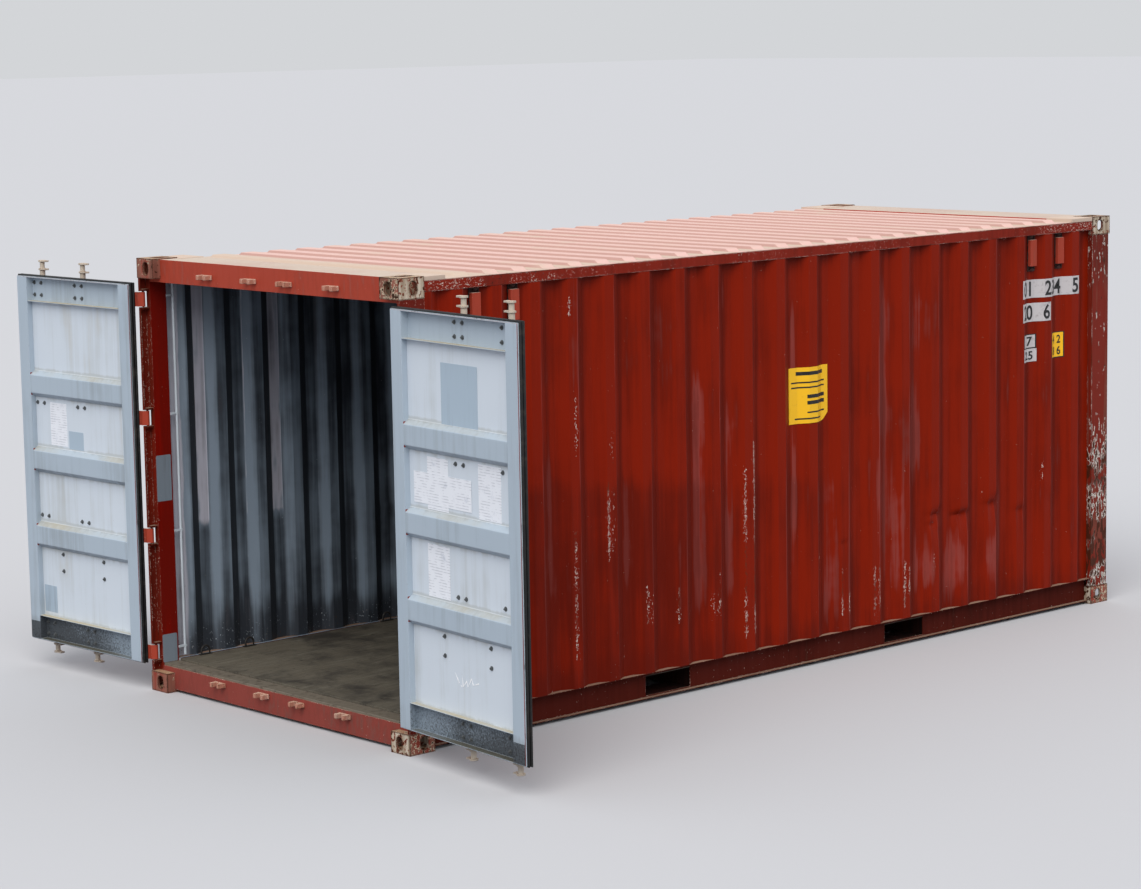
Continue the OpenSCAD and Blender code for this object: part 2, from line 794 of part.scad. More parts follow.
module door_brackets(side) {
    on_door(side) {
        for (y = bar_y, k = [0:3]) translate([0, y, bracket_z[k]])
            bar_bracket(k == 0 || k == 3 ? leaf_out : seat(y, bracket_w / 2));
        for (y = catch_y) translate([0, y, handle_z]) handle_catch(seat(y, catch_w / 2));
    }
}

// Cam: two flanges on a stem, clear above and below the keeper's claws
module cam(z) {
    for (s = [-1, 1]) {
        low = s > 0 ? claw_h / 2 + cam_gap : -claw_h / 2 - cam_gap - cam_t;
        translate([0, 0, z + low]) {
            cylinder(r = 24, h = cam_t);
            translate([-14, 0, 0]) cube([28, cam_ear, cam_t]);
        }
    }
    reach = claw_h / 2 + cam_gap + cam_t;
    translate([0, 0, z - reach]) cylinder(r = 15, h = 2 * reach);
}

module lock_bar(side, y) {
    low = sill_claw_z + claw_h / 2 + cam_gap;
    high = head_claw_z - claw_h / 2 - cam_gap;
    on_door(side) translate([0, y, 0]) union() {
        difference() {
            translate([0, 0, low]) cylinder(r = bar_r, h = high - low);
            translate([0, 0, low + 20]) cylinder(r = bar_r - bar_wall, h = high - low - 40);
        }
        cam(sill_claw_z);
        cam(head_claw_z);
        difference() {
            translate([0, 0, handle_z - 25]) {
                cylinder(r = bar_r + 7, h = 50);
                translate([-13, 0, 25 - handle_h / 2]) cube([10, handle_l, handle_h]);
            }
            translate([0, 0, handle_z - 26]) cylinder(r = bar_r - 1, h = 52);
        }
    }
}

module door_frame_left() { color("#9fb0bf") door_frame(1); }

module door_panel_left() { color("#bcc2cc") door_panel(1); }

module door_gasket_left() { color("#26282a") door_gasket(1); }

module door_hinges_left() { color("#a8281c") door_hinges(1); }

module door_brackets_left() { color("#8f3a2c") door_brackets(1); }

module door_frame_right() { color("#9fb0bf") door_frame(-1); }

module door_panel_right() { color("#bcc2cc") door_panel(-1); }

module door_gasket_right() { color("#26282a") door_gasket(-1); }

module door_hinges_right() { color("#a8281c") door_hinges(-1); }

module door_brackets_right() { color("#8f3a2c") door_brackets(-1); }

module lock_bar_left_outer() { color("#b8aca0") lock_bar(1, bar_y[0]); }

module lock_bar_left_inner() { color("#b8aca0") lock_bar(1, bar_y[1]); }

module lock_bar_right_outer() { color("#b8aca0") lock_bar(-1, bar_y[0]); }

module lock_bar_right_inner() { color("#b8aca0") lock_bar(-1, bar_y[1]); }

rear_bottom_castings();
front_bottom_castings();
rear_top_castings();
front_top_castings();
rear_post_left();
rear_post_right();
door_header();
door_sill();
threshold_strip();
front_post_left();
front_post_right();
front_header();
front_sill();
front_wall();
side_wall_left();
side_wall_right();
top_side_rails();
bottom_rail_left();
bottom_rail_right();
roof_sheet();
roof_corner_plates();
floor_boards();
cross_members();
rear_fork_pocket();
front_fork_pocket();
ventilators();
lashing_rings();
lashing_rods();
header_keepers();
sill_keepers();
hinge_lugs();
door_frame_left();
door_panel_left();
door_gasket_left();
door_hinges_left();
door_brackets_left();
door_frame_right();
door_panel_right();
door_gasket_right();
door_hinges_right();
door_brackets_right();
lock_bar_left_outer();
lock_bar_left_inner();
lock_bar_right_outer();
lock_bar_right_inner();
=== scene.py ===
"""Looks of a weathered twenty-foot freight container with both end doors open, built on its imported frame."""

import logging
import math
import random
from dataclasses import dataclass, field
from enum import Enum
from typing import Callable, Sequence

import bmesh
import bpy
from mathutils import Matrix, Vector, noise


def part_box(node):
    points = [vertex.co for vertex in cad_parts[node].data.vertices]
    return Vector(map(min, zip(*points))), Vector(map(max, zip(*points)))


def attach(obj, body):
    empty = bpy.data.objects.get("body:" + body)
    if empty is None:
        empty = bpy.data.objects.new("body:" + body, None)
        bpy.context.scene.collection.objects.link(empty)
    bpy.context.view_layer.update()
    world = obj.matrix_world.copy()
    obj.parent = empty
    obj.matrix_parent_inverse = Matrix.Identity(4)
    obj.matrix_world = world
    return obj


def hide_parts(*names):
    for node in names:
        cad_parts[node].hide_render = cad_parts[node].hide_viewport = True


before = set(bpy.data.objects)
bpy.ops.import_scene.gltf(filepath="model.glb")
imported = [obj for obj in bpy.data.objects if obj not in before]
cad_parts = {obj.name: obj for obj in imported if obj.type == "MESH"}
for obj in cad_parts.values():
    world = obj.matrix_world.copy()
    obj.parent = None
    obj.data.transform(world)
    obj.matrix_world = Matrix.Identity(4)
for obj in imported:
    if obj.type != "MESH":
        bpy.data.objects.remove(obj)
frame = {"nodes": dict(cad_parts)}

LOG = logging.getLogger("container")
MM = 0.001
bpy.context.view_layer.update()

# Main places, in metres, read from the frame
END = -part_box("rear_bottom_castings")[0].x
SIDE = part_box("rear_bottom_castings")[1].y
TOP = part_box("rear_top_castings")[1].z
WALL_FOOT, WALL_HEAD = (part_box("side_wall_left")[k].z for k in (0, 1))
REAR_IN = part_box("rear_bottom_castings")[1].x
FRONT_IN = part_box("front_bottom_castings")[0].x
FLOOR_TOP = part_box("floor_boards")[1].z


class Side(Enum):
    """The two long sides, by the sign of Y."""

    LEFT = 1
    RIGHT = -1


def linear(code: str) -> tuple[float, float, float, float]:
    """Turns an sRGB hex code into a linear colour.

    Args:
        code: Colour such as "#a04030".

    Returns:
        Red, green, blue and an alpha of 1.
    """
    parts = [int(code[k:k + 2], 16) / 255 for k in (1, 3, 5)]
    return (*[c / 12.92 if c <= 0.04045 else ((c + 0.055) / 1.055) ** 2.4 for c in parts], 1.0)


def add(tree: bpy.types.NodeTree, kind: str, inputs: dict, out: int | str = 0, **settings) -> bpy.types.NodeSocket:
    """Adds one node, with its settings, values and links.

    Args:
        tree: Node tree that takes the node.
        kind: Node type without its "ShaderNode" prefix.
        inputs: Value or output socket for each named or numbered input.
        out: Name or number of the output to return.
        **settings: Properties of the node itself.

    Returns:
        The chosen output socket.
    """
    node = tree.nodes.new("ShaderNode" + kind)
    for key, value in settings.items():
        setattr(node, key, value)
    for key, value in inputs.items():
        if isinstance(value, bpy.types.NodeSocket):
            tree.links.new(value, node.inputs[key])
        else:
            node.inputs[key].default_value = value
    return node.outputs[out]


def blank(name: str) -> bpy.types.Material:
    """Makes a material with an empty node tree.

    Args:
        name: Name of the real material.

    Returns:
        The new material.
    """
    material = bpy.data.materials.new(name)
    material.use_nodes = True
    material.node_tree.nodes.clear()
    return material


@dataclass(frozen=True)
class WeatheredEnamel:
    """Alkyd enamel sprayed on weathering steel: satin where sound, chalky in the sun, chipped to primer and rust.

    Three mesh attributes steer it where a piece has them: fade chalks the paint and also brings painted light,
    wear chips it, and grime darkens it, both as grime and as painted shade.
    """

    name: str
    coat: str
    bleached: str
    bleach: float = 0.3
    streak_mm: float = 45
    streak_tall: float = 22
    # Colour of grime, also used for painted shade
    grime_and_shade: str = "#2a120c"
    grime_and_shade_share: float = 0.25
    primer: str = "#e2cabb"
    rust: str = "#4a2113"
    chips: float = 0.0
    chip_mm: float = 9
    chip_tall: float = 1.6
    edge_mm: float = 0.0
    edge_wear: float = 0.0
    dust: str = "#c9ac94"
    dust_up: float = 0.0
    soil: float = 0.0
    roughness: float = 0.5
    gloss: float = 0.12
    grain_mm: float = 1.2

    def make(self) -> bpy.types.Material:
        """Builds the material's node tree.

        Returns:
            The finished material.
        """
        material = blank(self.name)
        tree = material.node_tree
        place = add(tree, "TexCoord", {}, "Object")
        fade = add(tree, "Attribute", {}, "Fac", attribute_name="fade")
        wear = add(tree, "Attribute", {}, "Fac", attribute_name="wear")
        grime_and_shade = add(tree, "Attribute", {}, "Fac", attribute_name="grime_and_shade")
        smooth = {"interpolation_type": "SMOOTHSTEP"}
        colour = {"data_type": "RGBA"}

        # Chalked runs: noise stretched downwards, its scale from the width of one run; the fade attribute also brings
        # painted light
        runs = 1 / (self.streak_mm * MM)
        tall = add(tree, "Mapping", {"Vector": place, "Scale": (runs, runs, runs / self.streak_tall)})
        run = add(tree, "TexNoise", {"Vector": tall, "Scale": 1.0, "Detail": 3.0, "Roughness": 0.62})
        cloud = add(tree, "TexNoise", {"Vector": place, "Scale": 1.6, "Detail": 4.0, "Roughness": 0.6})
        run_and_cloud = add(tree, "Math", {0: run, 1: cloud}, operation="ADD")
        faded_and_lit = add(tree, "Math", {0: fade, 1: 0.55, 2: run_and_cloud}, operation="MULTIPLY_ADD")
        start = 1.32 - 0.45 * self.bleach
        chalk_and_light = add(tree, "MapRange", {0: faded_and_lit, 1: start, 2: start + 0.2, 4: 0.92}, **smooth)
        coat = add(tree, "Mix", {0: chalk_and_light, 6: linear(self.coat), 7: linear(self.bleached)}, 2, **colour)

        # Soot and road dirt, in broad clouds and thin runs, with painted shade where the grime attribute carries it
        dirty_and_shaded = add(tree, "Math", {0: grime_and_shade, 1: 0.6, 2: run_and_cloud}, operation="MULTIPLY_ADD")
        low = 0.95 - 0.6 * self.soil
        dirt = add(tree, "MapRange", {0: dirty_and_shaded, 1: low, 2: low + 0.55, 4: self.grime_and_shade_share + 0.25}, **smooth)
        coat = add(tree, "Mix", {0: dirt, 6: coat, 7: linear(self.grime_and_shade)}, 2, **colour)

        # Dust that settles on what faces up
        if self.dust_up:
            normal = add(tree, "NewGeometry", {}, "Normal")
            up = add(tree, "SeparateXYZ", {0: normal}, "Z")
            level = add(tree, "Math", {0: cloud, 1: 0.5, 2: up}, operation="MULTIPLY_ADD")
            lie = add(tree, "MapRange", {0: level, 1: 0.9, 2: 1.32, 4: self.dust_up}, **smooth)
            coat = add(tree, "Mix", {0: lie, 6: coat, 7: linear(self.dust)}, 2, **colour)

        # Chips: spots of one chip's width, thick where the attribute or an edge asks for them
        spot = 1 / (self.chip_mm * MM)
        ticks = add(tree, "Mapping", {"Vector": place, "Scale": (spot, spot, spot / self.chip_tall)})
        spots = add(tree, "TexNoise", {"Vector": ticks, "Scale": 1.0, "Detail": 2.5, "Roughness": 0.6})
        patch = add(tree, "TexNoise", {"Vector": place, "Scale": 4.0, "Detail": 2.0})
        loss = add(tree, "Math", {0: wear, 1: 0.3, 2: spots}, operation="MULTIPLY_ADD")
        if self.edge_mm:
            bent = add(tree, "Bevel", {"Radius": self.edge_mm * MM}, samples=4)
            true = add(tree, "NewGeometry", {}, "Normal")
            same = add(tree, "VectorMath", {0: bent, 1: true}, "Value", operation="DOT_PRODUCT")
            edge = add(tree, "MapRange", {0: same, 1: 0.999, 2: 0.94, 4: 0.34 * self.edge_wear})
            rubbed = add(tree, "Math", {0: patch, 1: edge}, operation="MULTIPLY")
            loss = add(tree, "Math", {0: rubbed, 1: 1.6, 2: loss}, operation="MULTIPLY_ADD")
        limit = 0.755 - 0.12 * self.chips
        bare = add(tree, "MapRange", {0: loss, 1: limit, 2: limit + 0.03}, **smooth)
        core = add(tree, "MapRange", {0: loss, 1: limit + 0.05, 2: limit + 0.09}, **smooth)
        kind = add(tree, "MapRange", {0: patch, 1: 0.5, 2: 0.6}, **smooth)
        under = add(tree, "Mix", {0: kind, 6: linear(self.primer), 7: linear(self.rust)}, 2, **colour)
        under = add(tree, "Mix", {0: core, 6: under, 7: linear(self.rust)}, 2, **colour)
        coat = add(tree, "Mix", {0: bare, 6: coat, 7: under}, 2, **colour)

        # Surface: fine orange peel of the sprayed coat, and the step down into a chip
        peel = add(tree, "TexNoise", {"Vector": place, "Scale": 1 / (self.grain_mm * MM * 8), "Detail": 3.0})
        height = add(tree, "Math", {0: bare, 1: -1.5, 2: peel}, operation="MULTIPLY_ADD")
        bump = add(tree, "Bump", {"Strength": 0.25, "Distance": 0.0008, "Height": height})
        rough = add(tree, "MapRange", {0: run_and_cloud, 1: 0.7, 2: 1.3, 3: self.roughness - 0.1,
                                       4: self.roughness + 0.2})
        surface = add(tree, "BsdfPrincipled", {"Base Color": coat, "Roughness": rough, "Normal": bump,
                                               "IOR": 1.5, "Specular IOR Level": self.gloss})
        tree.links.new(surface, tree.nodes.new("ShaderNodeOutputMaterial").inputs["Surface"])
        return material


@dataclass(frozen=True)
class PlainFinish:
    """A solid material with one body colour and dirt: moulded rubber, vinyl film, galvanised strip or paper."""

    name: str
    body: str
    dirt: str
    dirt_share: float = 0.35
    cloud_mm: float = 120
    grain_mm: float = 6
    roughness: float = 0.6
    metallic: float = 0.0
    bump: float = 0.2
    stretch: float = 1.0
    gloss: float = 0.35
    ruled_mm: float = 0.0

    def make(self) -> bpy.types.Material:
        """Builds the material's node tree.

        Returns:
            The finished material.
        """
        material = blank(self.name)
        tree = material.node_tree
        place = add(tree, "TexCoord", {}, "Object")
        squeeze = add(tree, "Mapping", {"Vector": place, "Scale": (1.0, 1.0, 1 / self.stretch)})
        cloud = add(tree, "TexNoise", {"Vector": squeeze, "Scale": 1 / (self.cloud_mm * MM), "Detail": 5.0,
                                       "Roughness": 0.65})
        share = add(tree, "MapRange", {0: cloud, 1: 0.62 - 0.3 * self.dirt_share, 2: 0.78},
                    interpolation_type="SMOOTHSTEP")
        body = add(tree, "Mix", {0: share, 6: linear(self.body), 7: linear(self.dirt)}, 2, data_type="RGBA")
        if self.ruled_mm:
            lines = add(tree, "TexWave", {"Vector": place, "Scale": math.tau / 20 / (self.ruled_mm * MM)}, 1,
                        bands_direction="Z")
            broken = add(tree, "TexNoise", {"Vector": place, "Scale": 24.0, "Detail": 1.0})
            ink = add(tree, "Math", {0: lines, 1: broken}, operation="MULTIPLY")
            ink = add(tree, "MapRange", {0: ink, 1: 0.42, 2: 0.5, 4: 0.3})
            body = add(tree, "Mix", {0: ink, 6: body, 7: linear("#6d6f80")}, 2, data_type="RGBA")
        grain = add(tree, "TexNoise", {"Vector": place, "Scale": 1 / (self.grain_mm * MM), "Detail": 3.0})
        normal = add(tree, "Bump", {"Strength": self.bump, "Distance": 0.001, "Height": grain})
        rough = add(tree, "MapRange", {0: cloud, 1: 0.35, 2: 0.7, 3: self.roughness - 0.08, 4: self.roughness + 0.15})
        surface = add(tree, "BsdfPrincipled", {"Base Color": body, "Roughness": rough, "Metallic": self.metallic,
                                               "Normal": normal, "Specular IOR Level": self.gloss})
        tree.links.new(surface, tree.nodes.new("ShaderNodeOutputMaterial").inputs["Surface"])
        return material


@dataclass(frozen=True)
class FloorPlywood:
    """Hardwood plywood boards worn by freight: open grain along X, dark dirt in the middle, pale scuffs."""

    name: str = "Worn hardwood plywood"
    body: str = "#5a5347"
    pale: str = "#7c776a"
    dirt: str = "#2b2724"
    grain_mm: float = 7

    def make(self) -> bpy.types.Material:
        """Builds the material's node tree.

        Returns:
            The finished material.
        """
        material = blank(self.name)
        tree = material.node_tree
        place = add(tree, "TexCoord", {}, "Object")
        fine = 1 / (self.grain_mm * MM)
        along = add(tree, "Mapping", {"Vector": place, "Scale": (fine / 40, fine, fine)})
        grain = add(tree, "TexNoise", {"Vector": along, "Scale": 1.0, "Detail": 5.0, "Roughness": 0.7})
        cloud = add(tree, "TexNoise", {"Vector": place, "Scale": 2.2, "Detail": 6.0, "Roughness": 0.7})
        scuff = add(tree, "Mapping", {"Vector": place, "Scale": (3.0, 14.0, 1.0)})
        scuffs = add(tree, "TexNoise", {"Vector": scuff, "Scale": 1.4, "Detail": 6.0, "Roughness": 0.75})
        pale = add(tree, "MapRange", {0: grain, 1: 0.45, 2: 0.75, 4: 0.7})
        body = add(tree, "Mix", {0: pale, 6: linear(self.body), 7: linear(self.pale)}, 2, data_type="RGBA")
        worn = add(tree, "MapRange", {0: scuffs, 1: 0.52, 2: 0.7, 4: 0.6}, interpolation_type="SMOOTHSTEP")
        body = add(tree, "Mix", {0: worn, 6: body, 7: linear(self.pale)}, 2, data_type="RGBA")
        dark = add(tree, "MapRange", {0: cloud, 1: 0.42, 2: 0.66, 4: 0.85}, interpolation_type="SMOOTHSTEP")
        body = add(tree, "Mix", {0: dark, 6: body, 7: linear(self.dirt)}, 2, data_type="RGBA")
        pits = add(tree, "Mapping", {"Vector": place, "Scale": (22.0, 60.0, 1.0)})
        nicks = add(tree, "TexNoise", {"Vector": pits, "Scale": 1.0, "Detail": 3.0, "Roughness": 0.55})
        nick = add(tree, "MapRange", {0: nicks, 1: 0.63, 2: 0.7, 4: 0.8})
        body = add(tree, "Mix", {0: nick, 6: body, 7: linear(self.dirt)}, 2, data_type="RGBA")
        normal = add(tree, "Bump", {"Strength": 0.4, "Distance": 0.0015, "Height": grain})
        surface = add(tree, "BsdfPrincipled", {"Base Color": body, "Roughness": 0.75, "Normal": normal,
                                               "Specular IOR Level": 0.3})
        tree.links.new(surface, tree.nodes.new("ShaderNodeOutputMaterial").inputs["Surface"])
        return material


@dataclass
class Finishes:
    """Every finish of the container, made once."""

    side: bpy.types.Material = field(init=False)
    frame: bpy.types.Material = field(init=False)
    header: bpy.types.Material = field(init=False)
    sill: bpy.types.Material = field(init=False)
    bright: bpy.types.Material = field(init=False)
    corner_post: bpy.types.Material = field(init=False)
    rail: bpy.types.Material = field(init=False)
    pocket: bpy.types.Material = field(init=False)
    scratch: bpy.types.Material = field(init=False)
    smeared_and_shaded: bpy.types.Material = field(init=False)
    casting: bpy.types.Material = field(init=False)
    bared: bpy.types.Material = field(init=False)
    roof: bpy.types.Material = field(init=False)
    under: bpy.types.Material = field(init=False)
    inside: bpy.types.Material = field(init=False)
    rod: bpy.types.Material = field(init=False)
    door: bpy.types.Material = field(init=False)
    door_field: bpy.types.Material = field(init=False)
    door_foot: bpy.types.Material = field(init=False)
    patch: bpy.types.Material = field(init=False)
    post_patch: bpy.types.Material = field(init=False)
    keeper: bpy.types.Material = field(init=False)
    bar: bpy.types.Material = field(init=False)
    rubber: bpy.types.Material = field(init=False)
    strip: bpy.types.Material = field(init=False)
    steel: bpy.types.Material = field(init=False)
    bolt: bpy.types.Material = field(init=False)
    ring: bpy.types.Material = field(init=False)
    sealant: bpy.types.Material = field(init=False)
    plywood: bpy.types.Material = field(init=False)
    paper: bpy.types.Material = field(init=False)
    yellow: bpy.types.Material = field(init=False)
    white: bpy.types.Material = field(init=False)
    black: bpy.types.Material = field(init=False)

    def __post_init__(self) -> None:
        """Makes the materials."""
        # Oxide-red enamel of the long sides: deep and satin, with tall mauve runs where it has chalked; its grime
        # colour also gives the painted shade in the recesses and under the top rail
        self.side = WeatheredEnamel("Oxide red alkyd enamel", "#861b02", "#98423a", bleach=0.3, streak_mm=50,
                                    streak_tall=26, grime_and_shade_share=0.3, primer="#f3e2d6", chip_mm=7, gloss=0.09,
                                    grime_and_shade="#450d05", chip_tall=2.2, rust="#6a2c1c").make()
        # The same paint on posts, rails and sills, rubbed through at the edges
        self.frame = WeatheredEnamel("Oxide red enamel on rolled sections", "#842110", "#944033", bleach=0.25,
                                     edge_mm=6, edge_wear=0.7, chips=0.35, dust_up=0.5, primer="#dcc3b2").make()
        # Door header: weathered towards orange-pink, dusty on top
        self.header = WeatheredEnamel("Sun-bleached red enamel", "#a84230", "#b25a4c", bleach=0.5, streak_mm=30,
                                      streak_tall=6, edge_mm=7, edge_wear=0.5, dust="#c6b3a2", dust_up=1.0,
                                      grime_and_shade_share=0.15).make()
        # Sill: the same paint under a grey film of road dirt
        self.sill = WeatheredEnamel("Dirty bleached enamel on the sill", "#8d4138", "#99564d", bleach=0.5, streak_mm=30,
                                    streak_tall=3, edge_mm=7, edge_wear=0.7, dust="#8d7f70", dust_up=0.9,
                                    grime_and_shade="#4f332c", grime_and_shade_share=0.4, chips=0.2).make()
        # Front posts: knocked through to pale primer and brown rust, most of all low down
        self.corner_post = WeatheredEnamel("Scraped enamel on the front posts", "#7c2416", "#8f4a3c", bleach=0.4,
                                           chips=0.35, chip_mm=26, chip_tall=2.4, edge_mm=9, edge_wear=1.0,
                                           primer="#d6cfc5", rust="#4a2416").make()
        # Top side rails: the same enamel, nicked to pale primer and dark rust near both ends
        self.rail = WeatheredEnamel("Nicked enamel on the top side rails", "#842110", "#944033", bleach=0.25,
                                    chips=0.3, chip_mm=10, chip_tall=0.7, edge_mm=8, edge_wear=1.1,
                                    primer="#e6d6c8", rust="#3d1b12", dust_up=0.5).make()
        # Fork pockets: never cleaned, almost black inside
        self.pocket = WeatheredEnamel("Sooty enamel in the fork pockets", "#33110a", "#4a2a20", bleach=0.3,
                                      grime_and_shade="#100806", grime_and_shade_share=0.6, soil=0.5, roughness=0.8).make()
        # Plates behind the ventilator hoods: dark with old sealant and soot, and with painted shade round the hoods
        self.smeared_and_shaded = WeatheredEnamel("Sooty enamel behind the ventilators", "#3c150d", "#5a2c20", bleach=0.3,
                                       streak_mm=20, streak_tall=2, grime_and_shade="#150806", grime_and_shade_share=0.6,
                                       soil=0.5).make()
        # Freshly repainted post faces: bright, hardly worn
        self.bright = WeatheredEnamel("Fresh signal red enamel", "#8f1206", "#9c3c2c", bleach=0.08, edge_mm=3,
                                      edge_wear=0.6, roughness=0.4, grime_and_shade_share=0.15).make()
        # Cast steel corners: paint mostly knocked off, cream primer and brown rust
        self.casting = WeatheredEnamel("Chipped enamel on cast steel", "#923c2e", "#a8705f", bleach=0.5, chips=0.9,
                                       chip_mm=20, chip_tall=1.2, edge_mm=14, edge_wear=1.7, primer="#d8c6aa",
                                       rust="#3a1d0e", dust="#bb9f7c", dust_up=0.7, grime_and_shade_share=0.35).make()
        # The faces that took the most knocks: cream primer, islands of red left, rust at the rims
        self.bared = WeatheredEnamel("Bare primer on cast steel", "#d2c5b2", "#bfae97", bleach=0.5, chips=0.7,
                                     chip_mm=24, chip_tall=1.2, edge_mm=14, edge_wear=1.5, primer="#8c4431",
                                     rust="#46230f", grime_and_shade="#6b4a30", grime_and_shade_share=0.4).make()
        # Roof: chalked to pale pink, dust in the valleys
        self.roof = WeatheredEnamel("Chalked red roof enamel", "#bc948a", "#e0b9b0", bleach=0.75, streak_mm=260,
                                    streak_tall=1, grime_and_shade="#c9b5a3", grime_and_shade_share=0.65, dust="#cdb29d", dust_up=0.2,
                                    roughness=0.7).make()
        # Underframe: dark, dirty, sprayed with road dust
        self.under = WeatheredEnamel("Dirty underframe enamel", "#4e1307", "#703a2c", bleach=0.3, grime_and_shade_share=0.5,
                                     edge_mm=5, edge_wear=0.5, chips=0.3, roughness=0.7, dust="#a58b76",
                                     dust_up=0.7).make()
        # Grey enamel of the cargo space, with darker runs and dirt near the floor; its grime colour also gives the
        # painted shade inside
        self.inside = WeatheredEnamel("Grey interior enamel", "#7d8a97", "#c8c6d1", bleach=0.3, streak_mm=70,
                                      grime_and_shade="#222329", grime_and_shade_share=0.65, primer="#b7c2ca", rust="#4b3a30",
                                      chips=0.15, roughness=0.45, gloss=0.3).make()
        # Rods and their clips: the same grey, rubbed to bright steel
        self.rod = WeatheredEnamel("Pale grey enamel on round bar", "#c3cbd2", "#d2d6da", bleach=0.3, chips=0.3,
                                   primer="#777c80", rust="#4c3b30", gloss=0.4, roughness=0.35).make()
        # The same grey on the doors' stiles and bands, cleaner and bluer
        self.door = WeatheredEnamel("Blue-grey door enamel", "#adbac6", "#b8c4ce", bleach=0.3, streak_mm=40,
                                    grime_and_shade="#6a6a66", grime_and_shade_share=0.12, primer="#d6d2c8", rust="#6f5a4a", chips=0.1,
                                    edge_mm=4, edge_wear=0.3, dust="#b5a88a", dust_up=0.9, gloss=0.3).make()
        # Its foot: scraped, blotched and black with dirt
        self.door_foot = WeatheredEnamel("Dirty grey enamel at the door's foot", "#8f9ca8", "#a3afb8", bleach=0.4,
                                         streak_mm=11, streak_tall=1, grime_and_shade="#2b2b2c", grime_and_shade_share=0.6, soil=0.1,
                                         primer="#3a3c3f", rust="#1d1e20", chips=0.9, chip_mm=9, chip_tall=1,
                                         dust="#5f5b4b", dust_up=0.8, gloss=0.25).make()
        # Original pale grey of the doors' fields; its grime colour also gives the painted shadow under the bands
        self.door_field = WeatheredEnamel("Pale lilac-grey door enamel", "#d2dae3", "#d8dde3", bleach=0.4,
                                          streak_mm=60, grime_and_shade="#8d8a76", grime_and_shade_share=0.12, primer="#e2e0da",
                                          rust="#7c6a58", chips=0.05, dust="#cdc4a8", dust_up=0.7,
                                          gloss=0.3).make()
        # Touch-up rectangles brushed over repairs
        self.post_patch = WeatheredEnamel("Grey primer on the post", "#808a94", "#8d969f", bleach=0.3, streak_mm=20,
                                          grime_and_shade_share=0.3, chips=0.3, gloss=0.2).make()
        self.patch = WeatheredEnamel("Brushed grey touch-up enamel", "#acbcca", "#b4c2cf", bleach=0.2, streak_mm=25,
                                     grime_and_shade_share=0.05, roughness=0.5).make()
        # Forged keepers: dusty pink paint worn to tan
        self.keeper = WeatheredEnamel("Worn enamel on forged steel", "#b9806c", "#d3a894", bleach=0.6, chips=0.5,
                                      edge_mm=8, edge_wear=0.8, rust="#6b4430", dust="#c9ab94", dust_up=0.8).make()
        # Lock bars and cams: off-white paint, rust at the rims
        self.bar = WeatheredEnamel("Off-white enamel on bar steel", "#c3b6a6", "#d8cfc2", bleach=0.5, chips=0.45,
                                   edge_mm=4, edge_wear=1.0, primer="#8f6f58", rust="#5d4130", dust_up=0.4,
                                   grime_and_shade="#4c4036").make()
        # EPDM door seal: matt black with grey scuffs
        self.rubber = PlainFinish("EPDM rubber", "#111112", "#3d3833", 0.4, 60, 3, 0.55).make()
        # Seal retaining strip: bare galvanised steel, dirt in the gaps
        self.strip = PlainFinish("Galvanised retaining strip", "#b9c6cf", "#3b3a3a", 0.45, 45, 3, 0.45, 0.6,
                                 stretch=4).make()
        # Threshold: bare steel, brown with wear
        self.steel = PlainFinish("Worn bare steel", "#7c7264", "#453b30", 0.5, 50, 4, 0.55, 0.3).make()
        # Ring bars: paint gone, dark with grease
        self.ring = PlainFinish("Dark greasy steel", "#33302e", "#1b1917", 0.5, 20, 3, 0.5, 0.3).make()
        # Zinc-plated bolts, dull
        self.bolt = PlainFinish("Dull zinc-plated steel", "#6c6f70", "#2a2725", 0.5, 12, 2, 0.5, 0.5).make()
        # Polyurethane sealant round the ventilators
        self.sealant = PlainFinish("Dark polyurethane sealant", "#33160f", "#120b09", 0.5, 25, 6, 0.7, bump=0.6).make()
        self.plywood = FloorPlywood().make()
        # Notice paper, vinyl films and stencil paint
        self.paper = PlainFinish("Weathered paper", "#eceef4", "#ccd0da", 0.2, 70, 20, 0.8, bump=0.4, ruled_mm=15).make()
        self.yellow = PlainFinish("Yellow vinyl film", "#ffc41e", "#e3a92c", 0.1, 90, 20, 0.4).make()
        self.white = PlainFinish("White vinyl film", "#c9c3c3", "#8f8786", 0.35, 40, 12, 0.45).make()
        self.scratch = PlainFinish("Bared white primer", "#fbfbfd", "#e6e8ec", 0.1, 20, 6, 0.6).make()
        self.black = PlainFinish("Black vinyl film", "#161515", "#3a3634", 0.3, 30, 8, 0.45).make()


Marks = tuple[float, float, float]


def write_weather_and_light_marks(mesh: bpy.types.Mesh, marks: Sequence[Marks]) -> None:
    """Writes the fade, wear and grime of every point of a mesh, for its enamel to read; fade also carries painted light
    and grime painted shade.

    Args:
        mesh: Mesh to mark.
        marks: Three marks for each point.
    """
    for key, name in enumerate(("fade", "wear", "grime_and_shade")):
        mesh.attributes.new(name, "FLOAT", "POINT").data.foreach_set("value", [m[key] for m in marks])


def finish_piece(mesh: bpy.types.Mesh, name: str, body: str, materials: Sequence[bpy.types.Material],
                 replaces: Sequence[str] = (), slot: str | None = None, sharp: float = 50) -> bpy.types.Object:
    """Puts a mesh in the scene as a named piece that rides on a body.

    Args:
        mesh: Mesh in the row frame.
        name: Name of the piece.
        body: CAD body that carries it.
        materials: Materials by face index.
        replaces: CAD nodes that the piece stands for.
        slot: Not used.
        sharp: Angle in degrees above which an edge stays sharp.

    Returns:
        The new object.
    """
    mesh.name = name
    for material in materials:
        mesh.materials.append(material)
    mesh.shade_smooth()
    mesh.set_sharp_from_angle(angle=math.radians(sharp))
    piece = bpy.data.objects.new(name, mesh)
    bpy.context.scene.collection.objects.link(piece)
    piece.modifiers.new("Weighted normals", "WEIGHTED_NORMAL").keep_sharp = True
    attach(piece, body)
    if replaces:
        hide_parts(*replaces)
    return piece


